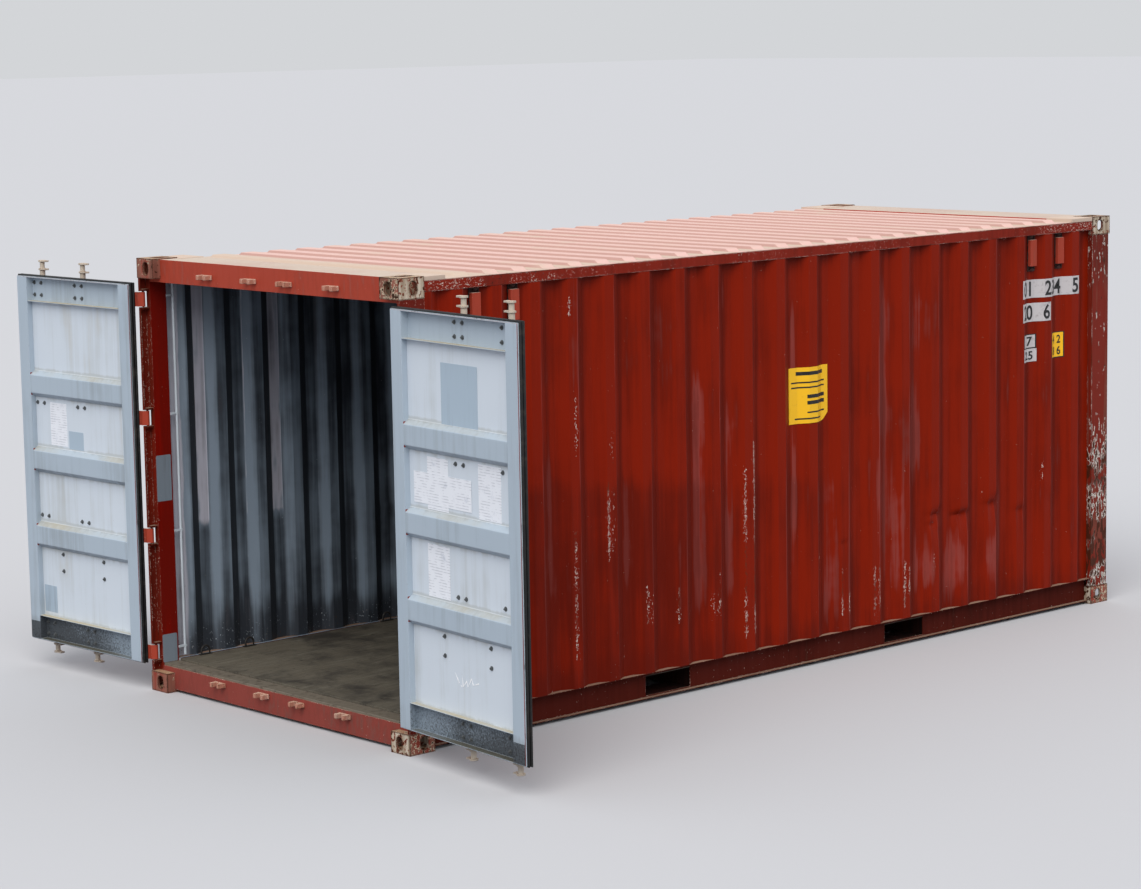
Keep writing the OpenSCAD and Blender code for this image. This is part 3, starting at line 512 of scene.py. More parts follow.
def rounded_copy(node: str, name: str, body: str, edge_mm: float, materials: Sequence[bpy.types.Material],
                 slot: str, segments: int = 2, pick: Callable[[Vector, Vector], int] | None = None,
                 cuts: Sequence[tuple[Vector, Vector]] = (),
                 marks: Callable[[Vector], Marks] | None = None) -> bpy.types.Object:
    """Copies a CAD node with its sharp edges rounded, as rolled, cast or welded steel has them.

    Args:
        node: CAD node to copy and stand for.
        name: Name of the new piece.
        body: CAD body that carries it.
        edge_mm: Width of the rounding.
        materials: Materials by face index.
        slot: Not used.
        segments: Steps of the rounding.
        pick: Gives a face's material index from its middle and normal.
        cuts: Planes, as point and normal, where faces are split before they are picked.
        marks: Gives a point's fade, wear and grime.

    Returns:
        The new object.
    """
    shell = bmesh.new()
    shell.from_mesh(frame["nodes"][node].data)
    bmesh.ops.remove_doubles(shell, verts=shell.verts, dist=1e-5)
    bmesh.ops.dissolve_limit(shell, angle_limit=math.radians(1), verts=shell.verts, edges=shell.edges)
    sharp = [e for e in shell.edges if len(e.link_faces) == 2 and e.calc_face_angle(0.0) > math.radians(35)]
    bmesh.ops.bevel(shell, geom=sharp, offset=edge_mm * MM, offset_type="OFFSET", segments=segments, profile=0.5,
                    affect="EDGES", clamp_overlap=True)
    bmesh.ops.recalc_face_normals(shell, faces=shell.faces)
    for point, normal in cuts:
        bmesh.ops.bisect_plane(shell, geom=shell.verts[:] + shell.edges[:] + shell.faces[:], plane_co=point,
                               plane_no=normal)
    for face in shell.faces:
        face.material_index = pick(face.calc_center_median(), face.normal) if pick else 0
    mesh = bpy.data.meshes.new(name)
    shell.to_mesh(mesh)
    shell.free()
    if marks:
        write_weather_and_light_marks(mesh, [marks(v.co) for v in mesh.vertices])
    return finish_piece(mesh, name, body, materials, (node,), slot)


def rounded_line(points: Sequence[tuple[float, float]], radius: float, steps: int, reach: float,
                 guard: float = 0.0) -> list[Vector]:
    """Rounds the corners of an open line and adds points along its long stretches.

    Args:
        points: Corners as (across, depth).
        radius: Bend radius.
        steps: Parts of each bend.
        reach: Longest stretch without a point.
        guard: Distance of an extra point from each bend.

    Returns:
        The finer line.
    """
    corners = [Vector(p) for p in points]
    line = [corners[0]]
    for before, corner, after in zip(corners, corners[1:], corners[2:]):
        back, on = (before - corner), (after - corner)
        angle = back.angle(on)
        if angle > math.pi - 0.02:
            line.append(corner)
            continue
        cut = min(radius / math.tan(angle / 2), 0.45 * back.length, 0.45 * on.length)
        start, stop = corner + back.normalized() * cut, corner + on.normalized() * cut
        for k in range(steps + 1):
            t = k / steps
            line.append(start * (1 - t) ** 2 + corner * 2 * t * (1 - t) + stop * t ** 2)
    line.append(corners[-1])
    fine = [line[0]]
    for a, b in zip(line, line[1:]):
        gap = (b - a).length
        parts = max(1, math.ceil(gap / reach))
        shares = {k / parts for k in range(1, parts + 1)}
        if guard and gap > 5 * guard:
            shares |= {guard / gap, 1 - guard / gap}
        fine += [a.lerp(b, share) for share in sorted(shares)]
    return fine


def even(low: float, high: float, step: float) -> list[float]:
    """Even places from low to high, no more than a step apart.

    Args:
        low: First place.
        high: Last place.
        step: Longest distance between two.

    Returns:
        The places.
    """
    parts = max(1, math.ceil((high - low) / step))
    return [low + (high - low) * k / parts for k in range(parts + 1)]


def ease(value: float, low: float, high: float) -> float:
    """Smooth step from 0 at low to 1 at high.

    Args:
        value: Where to read it.
        low: Value of the start.
        high: Value of the end.

    Returns:
        The step's height.
    """
    t = min(1.0, max(0.0, (value - low) / (high - low)))
    return t * t * (3 - 2 * t)


def hump(value: float, middle: float, half: float) -> float:
    """Bell of height 1 at its middle.

    Args:
        value: Where to read it.
        middle: Where it stands.
        half: Its half width.

    Returns:
        The bell's height.
    """
    return math.exp(-((value - middle) / half) ** 2)


@dataclass
class PressedSheet:
    """One pressed sheet as a closed solid: a bent line drawn along the bends, with dents and paint marks.

    Attributes:
        line: Rounded line as (across, depth).
        rows: Places along the bends.
        thickness: Sheet thickness, taken off the depth for the back face.
        place: Puts (across, depth, row) in the row frame.
        dent: Extra depth at (across, depth, row).
        marks: Fade with painted light, wear, and grime with painted shade at (across, depth, row, back).
    """

    name: str
    body: str
    nodes: tuple[str, ...]
    slot: str
    line: list[Vector]
    rows: list[float]
    thickness: float
    place: Callable[[float, float, float], Vector]
    dent: Callable[[float, float, float], float]
    marks: Callable[[float, float, float, bool], Marks]
    materials: tuple[bpy.types.Material, bpy.types.Material]

    def build(self) -> bpy.types.Object:
        """Builds the sheet.

        Returns:
            The new object.
        """
        columns, count = len(self.line), len(self.line) * len(self.rows)
        points, marks = [], []
        depths = [[p.y + self.dent(p.x, p.y, row) for p in self.line] for row in self.rows]
        for back in (False, True):
            for row, depth_row in zip(self.rows, depths):
                for p, depth in zip(self.line, depth_row):
                    points.append(self.place(p.x, depth - back * self.thickness, row))
                    marks.append(self.marks(p.x, p.y, row, back))
        faces, kinds = [], []
        last = len(self.rows) - 1
        for r in range(last):
            for c in range(columns - 1):
                a = r * columns + c
                quad = (a, a + 1, a + 1 + columns, a + columns)
                faces += [quad, tuple(count + k for k in reversed(quad))]
                kinds += [0, 1]
        rim = [(r * columns, (r + 1) * columns) for r in range(last)]
        rim += [((r + 1) * columns + columns - 1, r * columns + columns - 1) for r in range(last)]
        rim += [(c + 1, c) for c in range(columns - 1)]
        rim += [(last * columns + c, last * columns + c + 1) for c in range(columns - 1)]
        faces += [(a, b, b + count, a + count) for a, b in rim]
        kinds += [0] * len(rim)
        mesh = bpy.data.meshes.new(self.name)
        mesh.from_pydata(points, [], faces)
        mesh.polygons.foreach_set("material_index", kinds)
        write_weather_and_light_marks(mesh, marks)
        solid = bmesh.new()
        solid.from_mesh(mesh)
        bmesh.ops.recalc_face_normals(solid, faces=solid.faces)
        solid.to_mesh(mesh)
        solid.free()
        return finish_piece(mesh, self.name, self.body, self.materials, self.nodes, self.slot, 40)


@dataclass(frozen=True)
class Chips:
    """A row of chips down one bend: place of the bend, reach in height and thickness, in mm and a share."""

    x: float
    low: float
    high: float
    share: float


@dataclass(frozen=True)
class Run:
    """A tall chalked run: its reach along the wall and in height, in mm, and its strength."""

    x0: float
    x1: float
    low: float
    high: float
    share: float = 1.0


@dataclass(frozen=True)
class Dent:
    """A knock in the wall: its middle, half width, half height and depth in mm."""

    x: float
    z: float
    wide: float
    tall: float
    deep: float


@dataclass
class SideWall:
    """Corrugated side wall: trapezoid waves, rounded where the sheet is bent, with what years have done to it and with
    painted highlights and painted shade.
    """

    side: Side
    finishes: Finishes
    pitch: float = 278.5 * MM
    flat: float = 72 * MM
    slope: float = 68 * MM
    deep: float = 36 * MM
    first_wave: float = 140 * MM
    rear_run: float = 58 * MM
    sheet: float = 2 * MM
    bend: float = 9 * MM
    inset: float = 4 * MM
    waves: int = 20
    chips: tuple[Chips, ...] = ()
    runs: tuple[Run, ...] = ()
    dents: tuple[Dent, ...] = ()

    @property
    def edges(self) -> list[float]:
        """Front edge of each wave's outer flat, along X."""
        last = FRONT_IN - self.first_wave
        return [last - (self.waves - 1 - k) * self.pitch for k in range(self.waves)]

    def corners(self) -> list[tuple[float, float]]:
        """Corners of the wall's line as (x, depth outwards)."""
        out, low = SIDE - self.inset, SIDE - self.inset - self.deep
        turn = self.edges[0] - self.pitch + self.rear_run
        line = [(REAR_IN, out), (turn, out), (turn + self.slope, low)]
        for x in self.edges:
            line += [(x - self.flat - self.slope, low), (x - self.flat, out), (x, out), (x + self.slope, low)]
        return line + [(FRONT_IN, low)]

    def depth_at(self, x: float) -> float:
        """Depth of the undented wall's outer face at x.

        Args:
            x: Place along the container.

        Returns:
            Distance of the face from the middle plane.
        """
        line = self.corners()
        for (x0, y0), (x1, y1) in zip(line, line[1:]):
            if x0 <= x <= x1 and x1 > x0:
                return y0 + (y1 - y0) * (x - x0) / (x1 - x0)
        return line[-1][1]

    def dent(self, x: float, depth: float, z: float) -> float:
        """How far the sheet stands out from its pressed shape, less than nothing in a dent.

        Args:
            x: Place along the container.
            depth: Depth of the pressed shape.
            z: Height.

        Returns:
            The change of depth.
        """
        rim = min(1.0, (z - WALL_FOOT) / 0.12, (WALL_HEAD - z) / 0.12, (x - REAR_IN) / 0.05, (FRONT_IN - x) / 0.05)
        wave = noise.noise(Vector((x * 1.3, self.side.value * 3.0, z * 0.9)))
        ripple = noise.noise(Vector((x * 5.0, self.side.value * 7.0, z * 1.7)))
        total = -abs(wave) * 4 * MM - abs(ripple) * 1.6 * MM
        for d in self.dents:
            across, up = (x / MM - d.x) / d.wide, (z / MM - d.z) / d.tall
            up *= 2.6 if up > 0 else 0.55
            if abs(across) < 3 and abs(up) < 4:
                crease = math.exp(-abs(across) ** 1.7 - abs(up) ** 1.2)
                total -= d.deep * MM * crease
        return total * max(0.0, rim)

    def marks(self, x: float, depth: float, z: float, back: bool) -> Marks:
        """Fade, wear and grime of the paint at a point, with painted light in the fade and painted shade in the grime.

        Args:
            x: Place along the container.
            depth: Depth of the pressed shape.
            z: Height.
            back: True for the inner face.

        Returns:
            The three marks.
        """
        tone = noise.noise(Vector((x * 1.1, 4.0, z * 0.25)))
        if back:
            foot = 1 - ease(z, WALL_FOOT, WALL_FOOT + 0.3)
            patchy = noise.noise(Vector((x * 2.7, 11.0, z * 0.5)))
            # Painted shade in the recesses of the inside face.
            recess = ease(depth, SIDE - self.inset - 0.3 * self.deep, SIDE - self.inset)
            place = (x - self.edges[0]) / self.pitch
            wave = math.ceil(place - 0.01)
            mauve = recess * (wave in (0, 2)) * ease(z, 0.9, 1.0) * (x > REAR_IN + 0.12)
            bay = x - self.edges[0] - wave * self.pitch
            # Painted shade on the slopes that face away from the doorway and deeper into the container; the flats
            # nearest the middle are darker too.
            away_shade = 1.0 * (-self.flat - self.slope - 2 * MM < bay < -self.flat - 2 * MM)
            far = 0.2 * ease(x, -2.6, 0.8)
            flat = 0.3 * (1 - ease(depth, SIDE - self.inset - self.deep, SIDE - self.inset - 0.7 * self.deep))
            # Painted light: a paler strip at the doorway, clear of the painted shade.
            doorway_light = 1.2 * (1 - ease(x, REAR_IN + 0.05, REAR_IN + 0.1))
            grime_and_shade = 0.6 * foot + 0.2 * max(0.0, tone) + 0.5 * recess * (1 - mauve) + away_shade + far + flat
            return 0.25 * patchy + 0.75 * mauve + doorway_light, 0.3 * foot, grime_and_shade * (1 - 0.8 * min(1.0, doorway_light))
        out = SIDE - self.inset
        proud = ease(depth, out - self.deep, out)
        fade = 0.22 * proud * tone + 0.5 * max(0.0, tone - 0.1) * (1 - ease(z, 0.8, 1.6))
        for run in self.runs:
            width = (run.x1 - run.x0) / 2
            lean = noise.noise(Vector((run.x0 * 0.01, 1.0, z * 2.2))) * 12
            inside = min(1.0, 1.6 * hump(x / MM, (run.x0 + run.x1) / 2 + lean, max(20, width)))
            tall = ease(z / MM, run.low - 80, run.low + 260) * (1 - ease(z / MM, run.high - 350, run.high + 60))
            fade += 0.8 * run.share * inside * tall
        # Pale line along every bend: painted highlight.
        place = (x - self.edges[0]) / self.pitch
        near_bend = abs(place - round(place)) * self.pitch / MM
        fade += (0.45 + 0.5 * noise.noise(Vector((round(place) * 5.0, 2.0, z * 0.8)))) * hump(near_bend, 0, 4)
        wear = 0.0
        for row in self.chips:
            if abs(x / MM - row.x) < 40:
                tall = ease(z / MM, row.low - 20, row.low + 10) * (1 - ease(z / MM, row.high - 10, row.high + 20))
                wear += 1.5 * row.share * hump(x / MM, row.x, 12) * tall
        band = 1.36 - 0.11 * (x + 2.0) + 0.04 * noise.noise(Vector((x * 6, 0, 0)))
        low = 0.5 * (1 - ease(z, band - 0.07, band + 0.07)) * (1 - ease(x, -1.6, 0.6))
        after = x - self.edges[0] - math.floor((x - self.edges[0]) / self.pitch) * self.pitch
        # Painted shade on the slope past each outer flat, which faces away from the lamp.
        low += 0.5 * (3 * MM < after < self.slope + 12 * MM)
        splash = 0.35 * (1 - ease(z, WALL_FOOT, WALL_FOOT + 0.18))
        # Painted shadow under the top rail in the recesses, and painted shade over all the recesses.
        shade = 0.5 * ease(z, WALL_HEAD - 0.1, WALL_HEAD) * (1 - proud)
        return fade, min(1.0, wear), low + splash + shade + 0.15 * (1 - proud)

    def build(self) -> list[bpy.types.Object]:
        """Builds the wall.

        Returns:
            The new pieces.
        """
        sign, name = self.side.value, self.side.name.lower()
        line = rounded_line(self.corners(), self.bend, 2, 26 * MM, 5 * MM)
        rows = sorted(set(even(WALL_FOOT, 0.6, 0.036) + even(0.6, 0.95, 0.014) + even(0.95, WALL_HEAD, 0.04)))
        sheet = PressedSheet(f"side_wall_{name}_sheet", "root", (f"side_wall_{name}",), "red_paint", line, rows,
                             self.sheet, lambda x, y, z: Vector((x, sign * y, z)), self.dent, self.marks,
                             (self.finishes.side, self.finishes.inside))
        return [sheet.build()]


@dataclass
class Roof:
    """Roof sheet with pressed ridges across it, each closed by a sloped end, and the raised corner plates."""

    finishes: Finishes
    ridges: int = 25
    pitch: float = 209.5 * MM
    crown: float = 91 * MM
    slope: float = 13.5 * MM
    high: float = 18 * MM
    margin: float = 84 * MM
    end_slope: float = 26 * MM
    sheet: float = 2 * MM

    def build(self) -> list[bpy.types.Object]:
        """Builds the sheet and dresses the plates.

        Returns:
            The new pieces.
        """
        low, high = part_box("roof_sheet")
        base = low.z + self.sheet
        corners = [(low.x, 0.0)]
        for k in range(self.ridges):
            x = (k - (self.ridges - 1) / 2) * self.pitch
            half = self.crown / 2
            corners += [(x - half - self.slope, 0.0), (x - half, self.high), (x + half, self.high),
                        (x + half + self.slope, 0.0)]
        corners.append((high.x, 0.0))
        line = rounded_line(corners, 7 * MM, 2, 60 * MM)
        reach = SIDE - self.margin
        rows = [-high.y] + even(-reach, -reach + self.end_slope, 0.007) + even(-reach + 0.05, reach - 0.05, 0.06)
        rows += even(reach - self.end_slope, reach, 0.007) + [high.y]

        def dent(x: float, depth: float, y: float) -> float:
            """Sag between the ridges, and the slope that closes each ridge."""
            sag = noise.noise(Vector((x * 1.2, y * 1.2, 9.0)))
            share = min(1.0, max(0.0, (reach - abs(y)) / self.end_slope))
            return depth * (share - 1) - abs(sag) * 2 * MM * ease(reach - abs(y), 0.0, 0.3) * ease(x - low.x, 0, 0.2)

        def marks(x: float, depth: float, y: float, back: bool) -> Marks:
            """Ridges chalk most; the slopes keep more of their red."""
            if back:
                return 0.1, 0.0, 0.2
            crown = ease(depth, 0.88 * self.high, self.high)
            valley = 1 - ease(depth, 0.0, 0.12 * self.high)
            rear = 1 - ease(x - low.x, 0.1, 0.32)
            gutter = 0.9 * (1 - ease(y - low.y, 0.1, 0.7)) * valley
            touched = 0.5 * (-0.18 < x < 0.11) * (-0.45 < y < 0.22)
            flat = max(crown, valley)
            return 1.9 * flat - 1.0 + touched, 0.0, 0.25 * valley + 1.6 * rear + gutter - 0.3 * (1 - flat)

        sheet = PressedSheet("roof_panels", "root", ("roof_sheet",), "faded_red_paint", line, rows, self.sheet,
                             lambda x, depth, y: Vector((x, y, base + depth)), dent, marks,
                             (self.finishes.roof, self.finishes.inside)).build()
        plates = rounded_copy("roof_corner_plates", "roof_corner_gussets", "root", 3, [self.finishes.roof],
                              "faded_red_paint", marks=lambda point: (0.6, 0.2, 1.1))
        return [sheet, plates]


@dataclass
class FrontEnd:
    """Closed end: corrugated wall between two posts, with its header and sill."""

    finishes: Finishes
    waves: int = 8
    post: float = 180 * MM
    lead: float = 110 * MM
    deep: float = 45.6 * MM
    sheet: float = 2 * MM

    def build(self) -> list[bpy.types.Object]:
        """Builds the wall and rounds the members round it.

        Returns:
            The new pieces.
        """
        low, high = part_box("front_wall")
        inner = SIDE - self.post
        pitch = (2 * inner - self.lead) / self.waves
        face = high.x
        corners = [(-inner, face)]
        for k in range(self.waves):
            y = -inner + self.lead + k * pitch
            corners += [(y, face), (y + 18 * MM, face - self.deep), (y + pitch - 128 * MM, face - self.deep),
                        (y + pitch - self.lead, face)]
        corners.append((inner, face))

        def marks(y: float, depth: float, z: float, back: bool) -> Marks:
            """Paint of the end wall: runs below the header, grime at the foot."""
            foot = 1 - ease(z, low.z, low.z + 0.3)
            tone = noise.noise(Vector((7.0, y * 2.0, z * 0.4)))
            return 0.3 * tone, 0.25 * foot * (not back), 0.5 * foot + 0.2 * max(0.0, tone)

        def dent(y: float, depth: float, z: float) -> float:
            """Gentle waviness of the sheet."""
            rim = max(0.0, min(1.0, (z - low.z) / 0.1, (high.z - z) / 0.1, (inner - abs(y)) / 0.05))
            return -abs(noise.noise(Vector((5.0, y * 1.6, z * 1.1)))) * 5 * MM * rim

        wall = PressedSheet("front_wall_sheet", "root", ("front_wall",), "red_paint",
                            rounded_line(corners, 9 * MM, 3, 32 * MM), even(low.z, high.z, 0.035), self.sheet,
                            lambda y, x, z: Vector((x, y, z)), dent, marks,
                            (self.finishes.side, self.finishes.inside)).build()
        pieces = [wall]
        levels = [(Vector((0, 0, z)), Vector((0, 0, 1))) for z in even(0.2, 2.4, 0.1)]

        def scraped(point: Vector) -> Marks:
            """Knocks are thick below 1.3 m and again under the top casting."""
            patchy = 0.25 * noise.noise(Vector((point.y, 3.0, point.z * 2.2)))
            low, high = 1 - ease(point.z, 1.0, 1.4), ease(point.z, 2.1, 2.3)
            return 0.3, 0.12 + 0.62 * low + 0.35 * high + patchy, 0.4 * high + 0.15

        def post_face(middle: Vector, normal: Vector) -> int:
            """Grey on the inner faces of the hollow post, which show in the cargo space."""
            across = normal.y * middle.y < -0.5 and abs(middle.y) > SIDE - self.post + 20 * MM
            return int(across or (normal.x < -0.5 and middle.x > FRONT_IN + 20 * MM))

        def header_face(middle: Vector, normal: Vector) -> int:
            """Grey on the faces that look into the cargo space."""
            return int(middle.x > FRONT_IN + 20 * MM and normal.x < -0.5 or (normal.z < -0.5 and middle.z > high.z + 40 * MM))

        for node in ("front_post_left", "front_post_right"):
            pieces.append(rounded_copy(node, node + "_section", "root", 2.5,
                                       [self.finishes.corner_post, self.finishes.inside], "red_paint",
                                       pick=post_face, cuts=levels, marks=scraped))
        pieces.append(rounded_copy("front_sill", "front_sill_section", "root", 2.5, [self.finishes.frame],
                                   "red_paint"))
        pieces.append(rounded_copy("front_header", "front_header_section", "root", 2.5,
                                   [self.finishes.header, self.finishes.inside], "red_paint", pick=header_face))
        return pieces


@dataclass
class SteelFrame:
    """Corner castings, rear posts, header, sill and rails, with their rolled and cast edges rounded."""

    finishes: Finishes
    cast_round: float = 7
    rolled_round: float = 1.6

    def build(self) -> list[bpy.types.Object]:
        """Builds the pieces.

        Returns:
            The new pieces.
        """
        f = self.finishes
        channel = SIDE - 49 * MM

        def knocked(point: Vector) -> Marks:
            """The right-hand corners have lost the most paint."""
            share = 0.42 if point.y < 0 else 0.12
            return 0.4, share + 0.2 * noise.noise(point * 9), 0.25

        def cast_face(middle: Vector, normal: Vector) -> int:
            """Bare on the right-hand corners' side faces up high and on the rear one's end face down low."""
            up_high = middle.z > 1 and normal.y < -0.7
            return int(middle.y < -1 and (up_high or (middle.z < 0.2 and normal.x < -0.7)))

        pieces = [rounded_copy(n, n + "_cast", "root", self.cast_round, [f.casting, f.bared], "red_paint", 3,
                               pick=cast_face, marks=knocked)
                  for n in ("rear_bottom_castings", "front_bottom_castings", "rear_top_castings",
                            "front_top_castings")]

        def post_face(middle: Vector, normal: Vector) -> int:
            """Bright on the face that looks into the doorway, grey in the cargo space, darker elsewhere."""
            if normal.x > 0.5 and middle.x > REAR_IN - 60 * MM:
                return 2
            return 1 if abs(abs(middle.y) - channel) < 1 * MM and middle.x < REAR_IN - 5 * MM else 0

        for node in ("rear_post_left", "rear_post_right"):
            pieces.append(rounded_copy(node, node + "_section", "root", self.rolled_round,
                                       [f.frame, f.bright, f.inside], "red_paint", pick=post_face,
                                       marks=lambda point: (0.0, 0.15, 0.7)))
        for node, finish in (("door_header", f.header), ("door_sill", f.sill)):
            pieces.append(rounded_copy(node, node + "_section", "root", self.rolled_round, [finish], "red_paint"))
        stations = [(Vector((x, 0, 0)), Vector((1, 0, 0))) for x in even(-2.7, 2.7, 0.3)]

        def nicked(point: Vector) -> Marks:
            """Knocks near both ends, where a spreader or a neighbour strikes."""
            ends = 1 - ease(point.x, -2.3, -1.2) + ease(point.x, 2.1, 2.6)
            return 0.1, 0.1 + 0.32 * ends + 0.25 * noise.noise(point * 3), 0.1

        wall = SIDE - 42 * MM
        split = [(Vector((0, side * wall, 0)), Vector((0, 1, 0))) for side in (-1, 1)]
        pieces.append(rounded_copy("top_side_rails", "top_side_rail_tubes", "root", 4, [f.rail, f.inside], "red_paint",
                                   3, lambda middle, normal: int(normal.y * middle.y < -0.5 or (
                                       normal.z < -0.5 and abs(middle.y) < wall)), stations + split, nicked))
        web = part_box("floor_boards")[1].y

        def rail_face(middle: Vector, normal: Vector) -> int:
            """Grey where the rail shows in the cargo space."""
            inner = middle.z > FLOOR_TOP - 20 * MM and (middle.y * normal.y < 0 or abs(middle.y) < wall)
            return 1 if inner or abs(middle.y) < web else 0

        for node in ("bottom_rail_left", "bottom_rail_right"):
            pieces.append(rounded_copy(node, node + "_section", "root", 1.2, [f.under, f.inside], "red_paint",
                                       pick=rail_face, cuts=split))
        pieces.append(rounded_copy("threshold_strip", "threshold_bar", "root", 2, [f.steel], "worn_steel"))
        for node in ("header_keepers", "sill_keepers"):
            pieces.append(rounded_copy(node, node + "_forged", "root", 7, [f.keeper], "red_paint", 4))
        pieces.append(rounded_copy("hinge_lugs", "hinge_lugs_and_pins", "root", 1.5, [f.under], "red_paint"))
        return pieces


@dataclass
class Base:
    """Floor boards, cross members and fork pockets."""

    finishes: Finishes
    planks: int = 8
    joint: float = 3 * MM
    chamfer: float = 1.5 * MM

    def build(self) -> list[bpy.types.Object]:
        """Builds the boards and dresses what carries them.

        Returns:
            The new pieces.
        """
        low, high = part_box("floor_boards")
        boards = bmesh.new()
        width = (high.y - low.y) / self.planks
        for k in range(self.planks):
            cuts = [low.x, low.x + (1.9 if k % 2 else 2.9), low.x + (4.3 if k % 2 else 5.0), high.x]
            for x0, x1 in zip(cuts, cuts[1:]):
                y0 = low.y + k * width
                size = Vector((x1 - x0 - self.joint, width - self.joint, high.z - low.z))
                middle = Vector(((x0 + x1) / 2, y0 + width / 2, (low.z + high.z) / 2))
                bmesh.ops.create_cube(boards, size=1, matrix=Matrix.Translation(middle) @ Matrix.Diagonal(
                    size.to_4d()))
        bmesh.ops.bevel(boards, geom=boards.edges[:], offset=self.chamfer, segments=1, affect="EDGES",
                        offset_type="OFFSET", profile=0.5)
        mesh = bpy.data.meshes.new("floor_planks")
        boards.to_mesh(mesh)
        boards.free()
        pieces = [finish_piece(mesh, "floor_planks", "root", [self.finishes.plywood], ("floor_boards",),
                               "floor_plywood", 30)]
        pieces.append(rounded_copy("cross_members", "cross_members_section", "root", 1.2, [self.finishes.under],
                                   "red_paint"))
        for node in ("rear_fork_pocket", "front_fork_pocket"):
            pieces.append(rounded_copy(node, node + "_section", "root", 1.2, [self.finishes.pocket], "red_paint"))
        return pieces


@dataclass
class Fittings:
    """Ventilators, lashing rings and lashing rods."""

    finishes: Finishes
    sides: int = 10
    bar: float = 6 * MM
    arch: float = 30 * MM
    rear_gap: float = 328 * MM
    foot_half: Vector = field(default_factory=lambda: Vector((0.045, 0.010, 0.003)))
    vents: tuple[float, ...] = ()

    def build(self) -> list[bpy.types.Object]:
        """Builds the pieces.

        Returns:
            The new pieces.
        """
        f = self.finishes
        plate = SIDE - 35.5 * MM

        def hood_face(middle: Vector, normal: Vector) -> int:
            """Dark on the plate, partly soot and sealant and partly painted shade round the hood; the hood that stands
            out from it takes the paler sun-bleached enamel as painted light.
            """
            return 1 if abs(middle.y) < plate else 0

        return [rounded_copy("ventilators", "ventilator_hoods", "root", 2, [f.header, f.smeared_and_shaded], "red_paint",
                             pick=hood_face),
                rounded_copy("lashing_rods", "lashing_rods_and_clips", "root", 1, [f.rod], "grey_paint"),
                self.rings(), self.beads()]

    def tube(self, mesh: bmesh.types.BMesh, path: Sequence[Vector], radius: float, closed: bool = False) -> None:
        """Adds a round bar along a path.

        Args:
            mesh: Mesh that takes it.
            path: Points of its middle line.
            radius: Radius of the bar.
            closed: Whether its end meets its start.
        """
        rings = []
        for k, point in enumerate(path):
            before = path[k - 1] if closed or k else point
            after = path[(k + 1) % len(path)] if closed or k < len(path) - 1 else point
            turn = (after - before).normalized().to_track_quat("Z", "X")
            rings.append([mesh.verts.new(point + turn @ Vector((radius * math.cos(a), radius * math.sin(a), 0)))
                          for a in (math.tau * j / self.sides for j in range(self.sides))])
        pairs = list(zip(rings, rings[1:])) + ([(rings[-1], rings[0])] if closed else [])
        for a, b in pairs:
            for j in range(self.sides):
                mesh.faces.new((a[j], a[(j + 1) % self.sides], b[(j + 1) % self.sides], b[j]))
        if not closed:
            mesh.faces.new(list(reversed(rings[0])))
            mesh.faces.new(rings[-1])

    def rings(self) -> bpy.types.Object:
        """Arched bars welded to foot plates at the floor's edges."""
        low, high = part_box("lashing_rings")
        y = high.y - self.foot_half.y
        first, last = low.x + self.foot_half.x, high.x - self.foot_half.x
        places = [first] + [first + self.rear_gap + k * (last - first - self.rear_gap) / 4 for k in range(5)]
        top = high.z - self.bar - self.arch
        mesh = bmesh.new()
        for side in (-1, 1):
            for x in places:
                foot = Vector((x, side * y, low.z + self.foot_half.z))
                bmesh.ops.create_cube(mesh, size=2, matrix=Matrix.Translation(foot) @ Matrix.Diagonal(
                    self.foot_half.to_4d()))
                arc = [Vector((x - self.arch * math.cos(a), side * y, top + self.arch * math.sin(a)))
                       for a in (math.pi * k / 14 for k in range(15))]
                legs = [Vector((x + s * self.arch, side * y, low.z + 3 * MM)) for s in (-1, 1)]
                self.tube(mesh, [legs[0], *arc, legs[1]], self.bar)
        bmesh.ops.recalc_face_normals(mesh, faces=mesh.faces)
        data = bpy.data.meshes.new("lashing_ring_bars")
        mesh.to_mesh(data)
        mesh.free()
        return finish_piece(data, "lashing_ring_bars", "root", [self.finishes.ring], ("lashing_rings",), "worn_steel")

    def beads(self) -> bpy.types.Object:
        """Sealant run round each ventilator's plate, thicker where it sagged."""
        low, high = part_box("ventilators")
        wall = SIDE - 40 * MM
        mesh = bmesh.new()
        chance = random.Random(5)
        for side in (-1, 1):
            for x in self.vents:
                corners = [(-1, -1), (1, -1), (1, 1), (-1, 1)]
                path = []
                for (a, b), (c, d) in zip(corners, corners[1:] + corners[:1]):
                    steps = 6 if a == c else 3
                    for k in range(steps):
                        t = k / steps
                        path.append(Vector((
                            x + (33.5 * (a + (c - a) * t) + chance.uniform(-1, 1)) * MM,
                            side * (wall + 4 * MM),
                            (low.z + high.z) / 2 + (113 * (b + (d - b) * t) + chance.uniform(-1, 1)) * MM)))
                self.tube(mesh, path, 4.5 * MM, True)
                for z in (low.z + 6 * MM, high.z - 4 * MM):
                    bmesh.ops.create_icosphere(mesh, subdivisions=2, radius=1, matrix=Matrix.Translation(
                        (x + chance.uniform(-9, 9) * MM, side * (wall + 8 * MM), z)) @ Matrix.Diagonal(
                            (0.02, 0.007, 0.012, 1)))
        bmesh.ops.recalc_face_normals(mesh, faces=mesh.faces)
        data = bpy.data.meshes.new("ventilator_sealant")
        mesh.to_mesh(data)
        mesh.free()
        return finish_piece(data, "ventilator_sealant", "root", [self.finishes.sealant])


